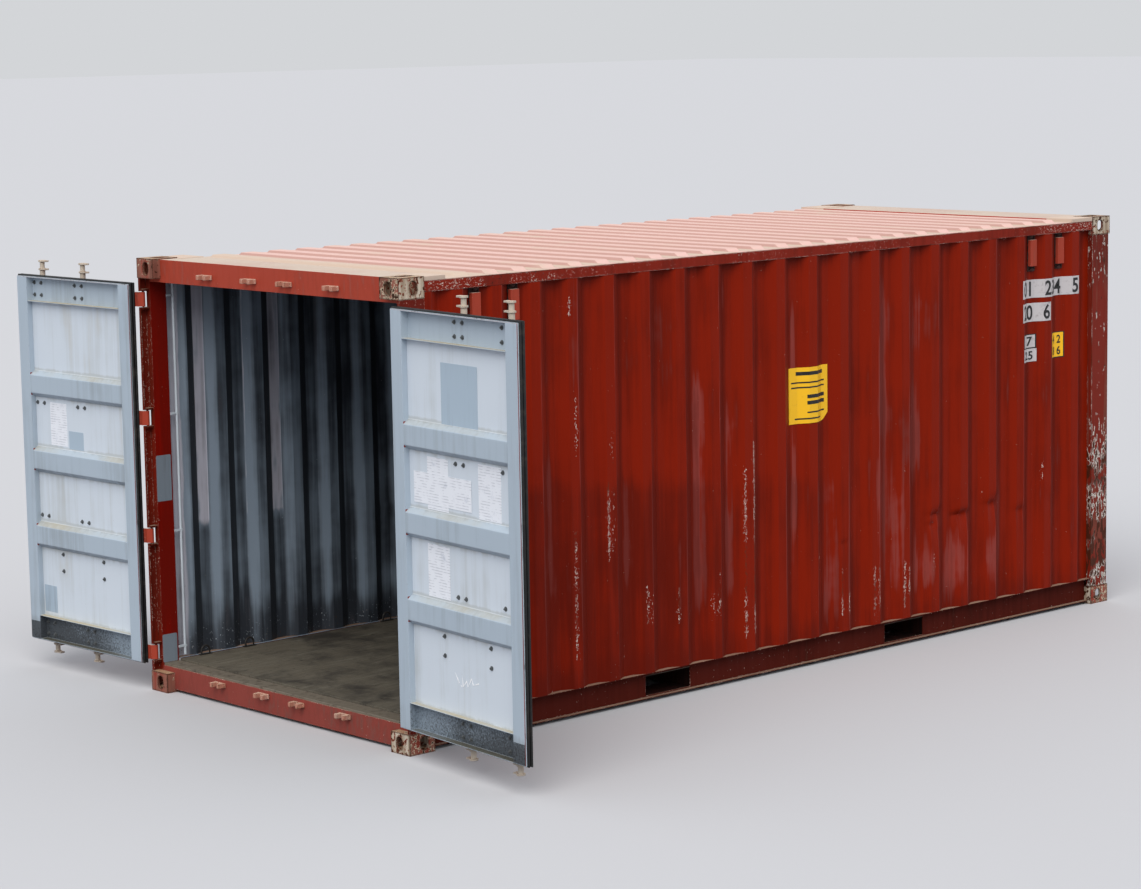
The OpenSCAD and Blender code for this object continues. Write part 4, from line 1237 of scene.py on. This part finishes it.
@dataclass
class DoorLeaf:
    """One door: framed leaf with a banded sheet, its seal, hinge blades, brackets and two lock bars."""

    side: Side
    finishes: Finishes
    opened: float
    pin_end: float = 22 * MM
    pin_side: float = 24 * MM
    out: float = 34 * MM
    inner: float = 84 * MM
    hinge_edge: float = -37 * MM
    free_edge: float = -1185 * MM
    foot: float = 177 * MM
    head: float = 2434 * MM
    stile: float = 100 * MM
    rail: float = 150 * MM
    band_deep: float = 36 * MM
    band: float = 110 * MM
    band_slope: float = 28 * MM
    band_pitch: float = 470 * MM
    sheet: float = 2 * MM
    seal: float = 6 * MM
    bars: tuple[float, float] = (568 * MM, 992 * MM)

    @property
    def label(self) -> str:
        """Name of the side."""
        return self.side.name.lower()

    @property
    def body(self) -> str:
        """CAD body of the leaf."""
        return f"door_{self.label}"

    def at(self, dx: float, dy: float, z: float) -> Vector:
        """Turns a place on the closed left leaf, measured from its pin, to the open leaf.

        Args:
            dx: Depth towards the cargo space.
            dy: Distance across, less than nothing towards the middle.
            z: Height.

        Returns:
            The point in the row frame.
        """
        turn = math.radians(self.opened)
        x = -END + self.pin_end + dx * math.cos(turn) + dy * math.sin(turn)
        y = SIDE - self.pin_side - dx * math.sin(turn) + dy * math.cos(turn)
        return Vector((x, self.side.value * y, z))

    def local(self, point: Vector) -> tuple[float, float]:
        """Depth and distance across, on the closed leaf, of a point of the open one.

        Args:
            point: Point in the row frame.

        Returns:
            The place as (dx, dy).
        """
        turn = math.radians(self.opened)
        x = point.x + END - self.pin_end
        y = self.side.value * point.y - SIDE + self.pin_side
        return x * math.cos(turn) - y * math.sin(turn), x * math.sin(turn) + y * math.cos(turn)

    def panel(self) -> bpy.types.Object:
        """Banded sheet, grey inside and red outside."""
        middle = (self.foot + self.head) / 2
        deep = self.inner - self.band_deep
        corners = [(self.foot + self.rail, deep)]
        for k in (-1, 0, 1):
            z, half = middle + k * self.band_pitch, self.band / 2
            corners += [(z - half - self.band_slope, deep), (z - half, self.inner), (z + half, self.inner),
                        (z + half + self.band_slope, deep)]
        corners.append((self.head - self.rail, deep))
        left, right = self.free_edge + self.stile, self.hinge_edge - self.stile

        def dent(z: float, depth: float, dy: float) -> float:
            """Slight waviness between the stiles."""
            rim = max(0.0, min(1.0, (dy - left) / 0.08, (right - dy) / 0.08))
            return -abs(noise.noise(Vector((z * 3, dy * 3, self.side.value)))) * 1.5 * MM * rim

        def marks(z: float, depth: float, dy: float, back: bool) -> Marks:
            """Dirt gathers on the ledges; a painted shadow runs below each band, and the field is darker next to the
            stiles.
            """
            tone = noise.noise(Vector((z * 1.5, dy * 4, 3.0 + self.side.value)))
            ledges = [middle + k * self.band_pitch + self.band / 2 + self.band_slope for k in (-1, 0, 1)]
            ledge = sum(hump(z, place + 4 * MM, 9 * MM) for place in ledges + [self.foot + self.rail])
            # Painted shadow along the lower bend of each band.
            under = sum(hump(z, middle + k * self.band_pitch - self.band / 2 - self.band_slope, 9 * MM)
                        for k in (-1, 0, 1))
            corner = hump(dy, left, 25 * MM) + hump(dy, right, 25 * MM)
            return 0.3 * tone, 0.0, 0.25 * max(0.0, -tone) + 0.9 * ledge + 0.5 * under + 0.25 * corner

        sheet = PressedSheet(f"{self.body}_pressed_panel", self.body, (f"door_panel_{self.label}",), "grey_paint",
                             rounded_line(corners, 8 * MM, 3, 18 * MM), even(left, right, 0.025), self.sheet,
                             lambda z, depth, dy: self.at(depth, dy, z), dent, marks,
                             (self.finishes.door_field, self.finishes.side)).build()
        sheet.data.materials.append(self.finishes.door)
        deep = self.inner - self.band_deep
        for face in sheet.data.polygons:
            if face.material_index == 0 and self.local(face.center)[0] > deep + 3 * MM:
                face.material_index = 2
        return sheet

    def frame_pieces(self) -> list[bpy.types.Object]:
        """Leaf frame, blades and brackets."""
        f = self.finishes
        near, far = self.free_edge + self.stile - 2 * MM, self.hinge_edge - self.stile + 2 * MM
        bands = [(self.foot + self.head) / 2 + k * self.band_pitch for k in (-1, 0, 1)]
        half = (self.band + self.band_slope) / 2
        skin = self.inner - self.band_deep - self.sheet / 2

        def sheet_depth(z: float) -> float:
            """Depth at which the leaf's inside begins: the channels' webs, the field or its bands."""
            if not self.foot + self.rail - 1 * MM < z < self.head - self.rail + 1 * MM:
                return self.out + 1.5 * MM
            return self.inner if min(abs(z - band) for band in bands) < half else skin

        def leaf_face(middle: Vector, normal: Vector) -> int:
            """Grey inside and in the field, red on the outer face and the edges."""
            dx, dy = self.local(middle)
            scraped = dy < near and middle.z < self.foot + 110 * MM
            recess = near < dy < far and middle.z < self.foot + self.rail - 4 * MM
            lip = middle.z < self.foot + 8 * MM and abs(normal.z) < 0.5
            grey = 2 if (scraped or recess) and not lip else 1
            if dx > self.inner - 2.5 * MM:
                return grey
            in_field = near < dy < far and self.foot + 2 * MM < middle.z < self.head - 2 * MM
            return grey if in_field and dx > sheet_depth(middle.z) else 0

        levels = [self.foot + 110 * MM, self.foot + self.rail, self.head - self.rail]
        levels += [band + end * half for band in bands for end in (-1, 1)]
        across = [(self.at(0, 0, z), Vector((0, 0, 1))) for z in levels]
        across.append((self.at(skin, 0, 0), (self.at(1, 0, 0) - self.at(0, 0, 0)).normalized()))
        along = (self.at(0, 1, 0) - self.at(0, 0, 0)).normalized()
        across += [(self.at(0, dy, 0), along) for dy in (near, (near + far) / 2, far)]

        def soiled(point: Vector) -> Marks:
            """Dirt thickens down the foot and towards the free edge."""
            share = (self.hinge_edge - self.local(point)[1]) / (self.hinge_edge - self.free_edge)
            low = 1 - ease(point.z, self.foot + 60 * MM, self.foot + self.rail + 5 * MM)
            return 0.0, 0.45 * share * low, (0.25 + 0.75 * share) * (0.4 + 0.6 * low) * (
                point.z < self.foot + self.rail - 1 * MM)

        frame_piece = rounded_copy(f"door_frame_{self.label}", f"{self.body}_leaf_frame", self.body, 2.5,
                                   [f.side, f.door, f.door_foot], "grey_paint", pick=leaf_face, cuts=across,
                                   marks=soiled)
        blades = rounded_copy(f"door_hinges_{self.label}", f"{self.body}_hinge_blades", self.body, 1.5, [f.header],
                              "red_paint")
        brackets = rounded_copy(f"door_brackets_{self.label}", f"{self.body}_bar_brackets", self.body, 1.5,
                                [f.frame], "red_paint")
        return [frame_piece, blades, brackets]

    def seal_ring(self, name: str, section: Sequence[tuple[float, float]], material: bpy.types.Material,
                  replaces: Sequence[str] = (), slot: str | None = None) -> bpy.types.Object:
        """Draws a section round the leaf's edge, with mitred corners.

        Args:
            name: Name of the piece.
            section: Closed section as (depth, height off the leaf's edge).
            material: Its material.
            replaces: CAD nodes that it stands for.
            slot: Not used.

        Returns:
            The new object.
        """
        points, faces = [], []
        corners = [(self.free_edge, self.foot, -1, -1), (self.hinge_edge, self.foot, 1, -1),
                   (self.hinge_edge, self.head, 1, 1.4), (self.free_edge, self.head, -1, 1.4)]
        for dy, z, out_y, out_z in corners:
            points += [self.at(dx, dy + out_y * h, z + out_z * h) for dx, h in section]
        n = len(section)
        for k in range(4):
            for j in range(n):
                a, b = k * n + j, k * n + (j + 1) % n
                c, d = (k + 1) % 4 * n + (j + 1) % n, (k + 1) % 4 * n + j
                faces.append((a, b, c, d))
        mesh = bpy.data.meshes.new(name)
        mesh.from_pydata(points, [], faces)
        ring = bmesh.new()
        ring.from_mesh(mesh)
        bmesh.ops.recalc_face_normals(ring, faces=ring.faces)
        ring.to_mesh(mesh)
        ring.free()
        return finish_piece(mesh, name, self.body, [material], replaces, slot, 60)

    def seals(self) -> list[bpy.types.Object]:
        """Double-lipped rubber seal and the strip that holds it."""
        lips = [(35.5 * MM, 0.0)]
        for start in (35.5, 54.5):
            lips += [((start + 9 - 8.5 * math.cos(math.pi * k / 8)) * MM,
                      (1.5 + 8 * math.sin(math.pi * k / 8) ** 0.7) * MM) for k in range(9)]
        lips += [(73 * MM, 0.0)]
        strip = [(73.2 * MM, 0.0), (73.2 * MM, 3 * MM), (79 * MM, 3 * MM), (79 * MM, 0.0)]
        f = self.finishes
        return [self.seal_ring(f"{self.body}_seal_lips", lips, f.rubber, (f"door_gasket_{self.label}",),
                               "gasket_rubber"),
                self.seal_ring(f"{self.body}_seal_strip", strip, f.strip)]

    def bolts(self) -> bpy.types.Object:
        """Nuts and washers of the bar brackets and handle catches, on the leaf's inner face."""
        field_face = self.inner - self.band_deep
        channel_face = self.out + 3 * MM
        spots = []
        for middle in self.bars:
            for shift in (-36, 36):
                d = middle + shift * MM
                spots += [(d, z, channel_face) for z in (2.398, 2.323)]
                spots += [(d, z, field_face) for z in (1.660, 0.957)]
                spots += [(d, z, channel_face) for z in (0.282, 0.209)]
        spots += [(d, z, field_face) for d in (0.395, 0.820) for z in (0.730, 0.626)]
        nuts = bmesh.new()
        for d, z, depth in spots:
            foot = self.at(depth, self.hinge_edge - d, z)
            axis = (self.at(depth + 0.01, self.hinge_edge - d, z) - foot).normalized()
            turn = axis.to_track_quat("Z", "Y").to_matrix().to_4x4()
            for radius, low, high, sides in ((13, 0, 2, 16), (8.5, 2, 8, 6), (4.5, 8, 13, 10)):
                middle = foot + axis * (low + high) / 2 * MM
                bmesh.ops.create_cone(nuts, cap_ends=True, segments=sides, radius1=radius * MM,
                                      radius2=radius * MM, depth=(high - low) * MM,
                                      matrix=Matrix.Translation(middle) @ turn)
        mesh = bpy.data.meshes.new(f"{self.body}_nuts")
        nuts.to_mesh(mesh)
        nuts.free()
        return finish_piece(mesh, f"{self.body}_nuts", self.body, [self.finishes.bolt], slot="worn_steel")

    def panel_sheet(self, name: str, d0: float, d1: float, z0: float, z1: float,
                    material: bpy.types.Material, depth: float | None = None) -> bpy.types.Object:
        """Thin rectangle on the leaf's field: a notice or a touch-up.

        Args:
            name: Name of the piece.
            d0: Nearer edge's distance from the hinge edge, in mm.
            d1: Farther edge's distance, in mm.
            z0: Lower edge, in mm.
            z1: Upper edge, in mm.
            material: Its material.
            depth: Depth of the face that carries it, or the field's.

        Returns:
            The new object.
        """
        face = self.inner - self.band_deep if depth is None else depth
        leaf = bmesh.new()
        rows = []
        for lift in (0.1 * MM, 0.9 * MM):
            rows.append([leaf.verts.new(self.at(face + lift, self.hinge_edge - d * MM, z * MM))
                         for d, z in ((d0, z0), (d1, z0), (d1, z1), (d0, z1))])
        leaf.faces.new(rows[0])
        leaf.faces.new(list(reversed(rows[1])))
        for k in range(4):
            leaf.faces.new((rows[0][k], rows[1][k], rows[1][(k + 1) % 4], rows[0][(k + 1) % 4]))
        bmesh.ops.recalc_face_normals(leaf, faces=leaf.faces)
        mesh = bpy.data.meshes.new(name)
        leaf.to_mesh(mesh)
        leaf.free()
        return finish_piece(mesh, name, self.body, [material])

    def lock_bars(self) -> list[bpy.types.Object]:
        """Lock bars with their cams and handles."""
        return [rounded_copy(f"lock_bar_{self.label}_{which}", f"lock_bar_{self.label}_{which}_steel",
                             f"lock_bar_{self.label}_{which}", 1.5, [self.finishes.bar], "worn_steel")
                for which in ("outer", "inner")]

    def build(self) -> list[bpy.types.Object]:
        """Builds the whole door.

        Returns:
            The new pieces.
        """
        return [self.panel(), *self.frame_pieces(), *self.seals(), self.bolts(), *self.lock_bars()]


@dataclass
class Markings:
    """Films and notices: a yellow film, number plates, bare notice papers and brushed touch-ups."""

    wall: SideWall
    right: DoorLeaf
    left: DoorLeaf
    finishes: Finishes
    lift: float = 0.8 * MM

    def film(self, name: str, x0: float, x1: float, z0: float, z1: float, material: bpy.types.Material,
             lift: float = 0.8, notch: float = 0.0) -> bpy.types.Object:
        """Film stuck on the wall that follows its waves.

        Args:
            name: Name of the piece.
            x0: Rear edge in mm.
            x1: Front edge in mm.
            z0: Lower edge in mm.
            z1: Upper edge in mm.
            material: Its material.
            lift: Height of its face above the wall, in mm.
            notch: Size of the corner that is torn off, in mm.

        Returns:
            The new object.
        """
        bends = [c[0] for c in self.wall.corners() if x0 * MM < c[0] < x1 * MM]
        places = sorted({x0 * MM, x1 * MM, *bends, *even(x0 * MM, x1 * MM, 20 * MM)})
        sheet = bmesh.new()
        rings = []
        for x in places:
            depth = self.wall.depth_at(x) + lift * MM
            foot = z0 + max(0.0, notch - (x1 - x / MM)) if notch else z0
            rings.append([sheet.verts.new((x, -d, z * MM)) for d, z in
                          ((depth, foot), (depth, z1), (depth - 0.6 * MM, z1), (depth - 0.6 * MM, foot))])
        for a, b in zip(rings, rings[1:]):
            for k in range(4):
                sheet.faces.new((a[k], a[(k + 1) % 4], b[(k + 1) % 4], b[k]))
        sheet.faces.new(rings[0])
        sheet.faces.new(list(reversed(rings[-1])))
        bmesh.ops.recalc_face_normals(sheet, faces=sheet.faces)
        mesh = bpy.data.meshes.new(name)
        sheet.to_mesh(mesh)
        sheet.free()
        return finish_piece(mesh, name, "root", [material])

    def plate(self, name: str, low: Vector, high: Vector, material: bpy.types.Material) -> bpy.types.Object:
        """Thin brushed patch between two corners.

        Args:
            name: Name of the piece.
            low: Lowest corner.
            high: Highest corner.
            material: Its material.

        Returns:
            The new object.
        """
        block = bmesh.new()
        bmesh.ops.create_cube(block, size=1, matrix=Matrix.Translation((low + high) / 2) @ Matrix.Diagonal(
            (high - low).to_4d()))
        upright = [e for e in block.edges if abs((e.verts[0].co - e.verts[1].co).y) > 0.5 * (high.y - low.y)]
        bmesh.ops.bevel(block, geom=upright, offset=8 * MM, segments=3, affect="EDGES", offset_type="OFFSET",
                        profile=0.5)
        mesh = bpy.data.meshes.new(name)
        block.to_mesh(mesh)
        block.free()
        return finish_piece(mesh, name, "root", [material])

    def numbers(self, name: str, digits: str, x0: float, x1: float, z0: float, z1: float) -> bpy.types.Object:
        """Plain numbers cut from black film that follow the wall's waves.

        Args:
            name: Name of the piece.
            digits: The numbers and the spaces between them.
            x0: Rear edge in mm.
            x1: Front edge in mm.
            z0: Lower edge in mm.
            z1: Upper edge in mm.

        Returns:
            The new object.
        """
        words = bpy.data.curves.new(name + "_outline", "FONT")
        words.body = digits
        words.extrude = 0.02
        words.offset = 0.02
        carrier = bpy.data.objects.new(name + "_outline", words)
        bpy.context.scene.collection.objects.link(carrier)
        bpy.context.view_layer.update()
        raw = bpy.data.meshes.new_from_object(carrier.evaluated_get(bpy.context.evaluated_depsgraph_get()))
        bpy.data.objects.remove(carrier)
        bpy.data.curves.remove(words)
        cut = bmesh.new()
        cut.from_mesh(raw)
        bpy.data.meshes.remove(raw)
        bmesh.ops.remove_doubles(cut, verts=cut.verts, dist=1e-5)
        low = [min(v.co[k] for v in cut.verts) for k in (0, 1, 2)]
        high = [max(v.co[k] for v in cut.verts) for k in (0, 1, 2)]
        for vert in cut.verts:
            across, up, out = ((vert.co[k] - low[k]) / (high[k] - low[k]) for k in (0, 1, 2))
            vert.co = ((x0 + (x1 - x0) * across) * MM, out, (z0 + (z1 - z0) * up) * MM)
        for x, _ in self.wall.corners():
            if x0 * MM < x < x1 * MM:
                bmesh.ops.bisect_plane(cut, geom=cut.verts[:] + cut.edges[:] + cut.faces[:], plane_co=(x, 0, 0),
                                       plane_no=(1, 0, 0))
        for vert in cut.verts:
            vert.co.y = -self.wall.depth_at(vert.co.x) - (0.7 + 0.8 * vert.co.y) * MM
        bmesh.ops.recalc_face_normals(cut, faces=cut.faces)
        mesh = bpy.data.meshes.new(name)
        cut.to_mesh(mesh)
        cut.free()
        return finish_piece(mesh, name, "root", [self.finishes.black])

    def scribble(self) -> bpy.types.Object:
        """Scratches in the near door's lower field, down to the pale primer."""
        door, strokes = self.right, ((481, 552, 512, 512), (512, 512, 520, 500), (548, 540, 556, 486),
                                     (556, 486, 590, 520), (590, 520, 600, 492), (600, 492, 634, 540),
                                     (634, 540, 648, 508), (648, 508, 700, 524), (530, 492, 545, 484))
        scratch = bmesh.new()
        face = door.inner - door.band_deep
        for d0, z0, d1, z1 in strokes:
            length = math.hypot(d1 - d0, z1 - z0)
            across, up = -(z1 - z0) / length * 4.5, (d1 - d0) / length * 4.5
            rows = [[scratch.verts.new(door.at(face + lift * MM, door.hinge_edge - d * MM, z * MM))
                     for d, z in ((d0, z0), (d1 + across, z1 + up), (d1 - across, z1 - up))] for lift in (0.1, 0.7)]
            scratch.faces.new(rows[0])
            scratch.faces.new(list(reversed(rows[1])))
            for k in range(3):
                scratch.faces.new((rows[0][k], rows[1][k], rows[1][(k + 1) % 3], rows[0][(k + 1) % 3]))
        bmesh.ops.recalc_face_normals(scratch, faces=scratch.faces)
        mesh = bpy.data.meshes.new("door_right_scratches")
        scratch.to_mesh(mesh)
        scratch.free()
        return finish_piece(mesh, "door_right_scratches", door.body, [self.finishes.scratch])

    def build(self) -> list[bpy.types.Object]:
        """Builds the films, notices and touch-ups.

        Returns:
            The new pieces.
        """
        f = self.finishes
        pieces = [self.film("yellow_film", -19, 328, 1498, 1838, f.yellow, notch=48),
                  self.film("upper_number_film", 2141, 2713, 2097, 2216, f.white),
                  self.film("lower_number_film", 2143, 2423, 1943, 2064, f.white),
                  self.film("small_film_a", 2165, 2300, 1776, 1857, f.white),
                  self.film("small_film_b", 2158, 2310, 1683, 1768, f.white),
                  self.film("small_yellow_film", 2450, 2585, 1693, 1852, f.yellow),
                  self.film("small_yellow_film_edge", 2442, 2593, 1687, 1858, f.black, 0.5),
                  self.numbers("upper_numbers", "01  234  5", 2152, 2703, 2108, 2205),
                  self.numbers("lower_numbers", "20  6", 2152, 2412, 1955, 2052),
                  self.film("small_film_a_edge", 2159, 2308, 1768, 1863, f.black, 0.5),
                  self.numbers("small_numbers_a", "7", 2215, 2275, 1786, 1846),
                  self.numbers("small_numbers_b", "25", 2180, 2280, 1696, 1752),
                  self.numbers("small_numbers_c", "4 2", 2462, 2565, 1782, 1836),
                  self.numbers("small_numbers_d", "8 6", 2462, 2565, 1706, 1762), self.scribble()]
        for k, (z, x0, x1) in enumerate(((1790, 50, 280), (1742, 10, 296), (1712, 10, 296), (1650, 120, 296),
                                         (1612, 120, 296), (1560, 120, 296), (1522, 40, 250))):
            pieces.append(self.film(f"yellow_film_bar_{k}", x0, x1, z, z + (22 if k in (0, 3, 4) else 9), f.black, 1.4))
        patches = ((1137, 1413), (163, 332))
        for k, (z0, z1) in enumerate(patches):
            low, high = Vector((REAR_IN - 124 * MM, SIDE - 50.2 * MM, z0 * MM)), Vector(
                (REAR_IN - 20 * MM, SIDE - 49.2 * MM, z1 * MM))
            pieces.append(self.plate(f"post_patch_{k}", low, high, f.post_patch))
        notices = (("a", 266, 459, 1394, 1674), ("c", 735, 937, 1395, 1682), ("d", 256, 459, 928, 1210))
        pieces.append(self.right.panel_sheet("door_right_notice_b", 139, 671, 1419, 1586, f.paper,
                                             self.right.inner - self.right.band_deep + 1 * MM))
        for key, d0, d1, z0, z1 in notices:
            pieces.append(self.right.panel_sheet(f"door_right_notice_{key}", d0, d1, z0, z1, f.paper))
        pieces.append(self.right.panel_sheet("door_right_touch_up", 411, 742, 1858, 2181, f.patch))
        pieces.append(self.left.panel_sheet("door_left_notice", 726, 899, 1406, 1669, f.paper))
        pieces.append(self.left.panel_sheet("door_left_touch_up_a", 559, 709, 1396, 1506, f.patch))
        pieces.append(self.left.panel_sheet("door_left_touch_up_b", 907, 1036, 353, 519, f.patch))
        return pieces


@dataclass
class Studio:
    """Camera at the photograph's place, pale floor, soft sky and one broad lamp."""

    place: tuple[float, float, float] = (-13.093, -13.667, 3.904)
    heading: float = 47.836
    tilt: float = -7.892
    roll: float = 1.011
    focal_px: float = 3028.6
    photo_w: float = 1141.0
    sensor: float = 36.0

    def camera(self) -> None:
        """Makes the camera."""
        heading, tilt, roll = (math.radians(v) for v in (self.heading, self.tilt, self.roll))
        ahead = Vector((math.cos(heading) * math.cos(tilt), math.sin(heading) * math.cos(tilt), math.sin(tilt)))
        right = ahead.cross(Vector((0, 0, 1))).normalized()
        down = -right.cross(ahead)
        right, down = (right * math.cos(roll) + down * math.sin(roll),
                       down * math.cos(roll) - right * math.sin(roll))
        data = bpy.data.cameras.new("Photo camera")
        data.sensor_width = self.sensor
        data.sensor_fit = "HORIZONTAL"
        data.lens = self.focal_px * self.sensor / self.photo_w
        data.clip_end = 500
        eye = bpy.data.objects.new("Photo camera", data)
        bpy.context.scene.collection.objects.link(eye)
        axes = Matrix((right, -down, -ahead)).transposed().to_4x4()
        eye.matrix_world = Matrix.Translation(self.place) @ axes
        bpy.context.scene.camera = eye

    def floor(self) -> None:
        """Makes the pale floor."""
        ground = bmesh.new()
        bmesh.ops.create_grid(ground, x_segments=1, y_segments=1, size=220)
        mesh = bpy.data.meshes.new("studio_floor")
        ground.to_mesh(mesh)
        ground.free()
        material = blank("Pale studio floor")
        tree = material.node_tree
        path = tree.nodes.new("ShaderNodeLightPath")
        seen = add(tree, "Math", {0: path.outputs["Is Camera Ray"], 1: path.outputs["Is Glossy Ray"]},
                   operation="MAXIMUM")
        seen = add(tree, "Math", {0: seen, 1: path.outputs["Is Transmission Ray"]}, operation="MAXIMUM")
        tint = add(tree, "Mix", {0: seen, 6: linear("#6f6d72"), 7: linear("#c0bfc1")}, 2, data_type="RGBA")
        surface = add(tree, "BsdfDiffuse", {"Color": tint})
        tree.links.new(surface, tree.nodes.new("ShaderNodeOutputMaterial").inputs["Surface"])
        mesh.materials.append(material)
        floor = bpy.data.objects.new("studio_floor", mesh)
        bpy.context.scene.collection.objects.link(floor)

    def lights(self) -> None:
        """Makes the sky and the lamp."""
        world = bpy.data.worlds.new("Studio sky")
        bpy.context.scene.world = world
        world.use_nodes = True
        tree = world.node_tree
        tree.nodes.clear()
        path = tree.nodes.new("ShaderNodeLightPath")
        seen = add(tree, "Math", {0: path.outputs["Is Camera Ray"], 1: path.outputs["Is Transmission Ray"]},
                   operation="MAXIMUM")
        sky = add(tree, "Background", {"Color": (0.89, 0.94, 1.0, 1.0), "Strength": 0.92})
        backdrop = add(tree, "Background", {"Color": linear("#d3d5d8"), "Strength": 1.0})
        both = add(tree, "MixShader", {0: seen, 1: sky, 2: backdrop})
        tree.links.new(both, tree.nodes.new("ShaderNodeOutputWorld").inputs["Surface"])
        lamp = bpy.data.lights.new("Broad soft lamp", "SUN")
        lamp.energy = 2.0
        lamp.angle = math.radians(50)
        lamp.color = (1.0, 0.97, 0.93)
        sun = bpy.data.objects.new("Broad soft lamp", lamp)
        bpy.context.scene.collection.objects.link(sun)
        sun.rotation_euler = Vector((-0.62, -0.5, 0.9)).to_track_quat("Z", "Y").to_euler()

    def build(self) -> None:
        """Builds the studio."""
        self.camera()
        self.floor()
        self.lights()
        bpy.context.scene.view_settings.view_transform = "Standard"


VENT_WAVES = (0, 1, 17, 18)
RIGHT_CHIPS = (
    Chips(-1808, 2303, 2398, 0.6), Chips(-1768, 1512, 1850, 0.5), Chips(-1785, 340, 1084, 0.75),
    Chips(-1500, 1396, 1624, 0.5), Chips(-1533, 882, 1341, 0.6), Chips(-1497, 900, 1341, 0.4),
    Chips(-1235, 461, 695, 0.5), Chips(-1200, 461, 640, 0.4), Chips(-895, 429, 678, 0.55),
    Chips(-981, 429, 640, 0.45), Chips(-672, 1006, 1125, 0.4), Chips(-645, 434, 692, 0.6),
    Chips(-700, 434, 600, 0.4), Chips(-345, 267, 1445, 0.85), Chips(-424, 267, 1300, 0.55),
    Chips(225, 586, 926, 0.35), Chips(420, 279, 560, 0.65), Chips(483, 279, 420, 0.6),
    Chips(712, 256, 552, 0.65), Chips(761, 256, 552, 0.55), Chips(991, 228, 546, 0.75),
    Chips(1040, 228, 500, 0.55), Chips(1277, 251, 541, 0.45), Chips(995, 1085, 1179, 0.4),
    Chips(1764, 835, 933, 0.4), Chips(2349, 885, 1030, 0.5))
RIGHT_RUNS = (
    Run(-1975, -1940, 700, 2230, 0.5), Run(-1650, -1610, 660, 1923, 0.6), Run(-1375, -1340, 620, 1783, 0.5),
    Run(-820, -750, 361, 2078, 0.8), Run(-560, -490, 382, 1822, 0.8), Run(-90, 0, 1465, 2141, 0.45),
    Run(5, 45, 427, 2372, 0.9), Run(290, 375, 200, 1440, 0.6), Run(770, 880, 1300, 2500, 0.8),
    Run(745, 870, 300, 1500, 0.6), Run(1065, 1185, 1000, 2430, 0.6), Run(885, 995, 250, 1250, 0.55), Run(1340, 1392, 1000, 2050, 0.5), Run(1100, 1290, 250, 770, 0.8),
    Run(1400, 1600, 190, 790, 0.8), Run(1790, 1880, 190, 800, 0.7), Run(1915, 1955, 190, 1273, 0.6),
    Run(2450, 2480, 190, 1284, 0.5))
RIGHT_DENTS = (Dent(1297, 800, 50, 42, 34), Dent(1262, 742, 30, 30, 16), Dent(1345, 842, 26, 22, 12),
               Dent(1560, 775, 56, 44, 36), Dent(1500, 770, 30, 30, 14), Dent(1850, 806, 52, 46, 34),
               Dent(1900, 850, 30, 26, 14), Dent(2125, 730, 46, 50, 20), Dent(430, 730, 26, 22, 9), Dent(1330, 690, 40, 60, 8),
               Dent(-430, 1130, 30, 60, 6), Dent(2430, 760, 40, 90, 6))
LEFT_DENTS = (Dent(-1208, 900, 60, 70, 14), Dent(1298, 620, 50, 45, 18))


def main() -> None:
    """Builds the container's looks, one sub-assembly after another."""
    logging.basicConfig(level=logging.INFO, format="%(name)s: %(message)s")
    random.seed(7)
    Studio().build()
    finishes = Finishes()
    right_wall = SideWall(Side.RIGHT, finishes, chips=RIGHT_CHIPS, runs=RIGHT_RUNS, dents=RIGHT_DENTS)
    left_wall = SideWall(Side.LEFT, finishes, dents=LEFT_DENTS,
                         chips=(Chips(-909, 300, 900, 0.5), Chips(483, 300, 1200, 0.5), Chips(1875, 260, 600, 0.6)),
                         runs=(Run(-1500, -1440, 400, 1900), Run(200, 260, 500, 2200), Run(1580, 1640, 300, 1500)))
    right_door = DoorLeaf(Side.RIGHT, finishes, 174.3)
    left_door = DoorLeaf(Side.LEFT, finishes, 178.2)
    edges = right_wall.edges
    vents = [edges[k] + right_wall.slope + 35 * MM for k in VENT_WAVES]
    parts = (SteelFrame(finishes), right_wall, left_wall, Roof(finishes), FrontEnd(finishes), Base(finishes),
             Fittings(finishes, vents=vents), right_door, left_door, Markings(right_wall, right_door, left_door, finishes))
    for part in parts:
        for piece in part.build():
            LOG.info("%s: %s, %d faces", type(part).__name__, piece.name, len(piece.data.polygons))


if __name__ == "__main__":
    main()
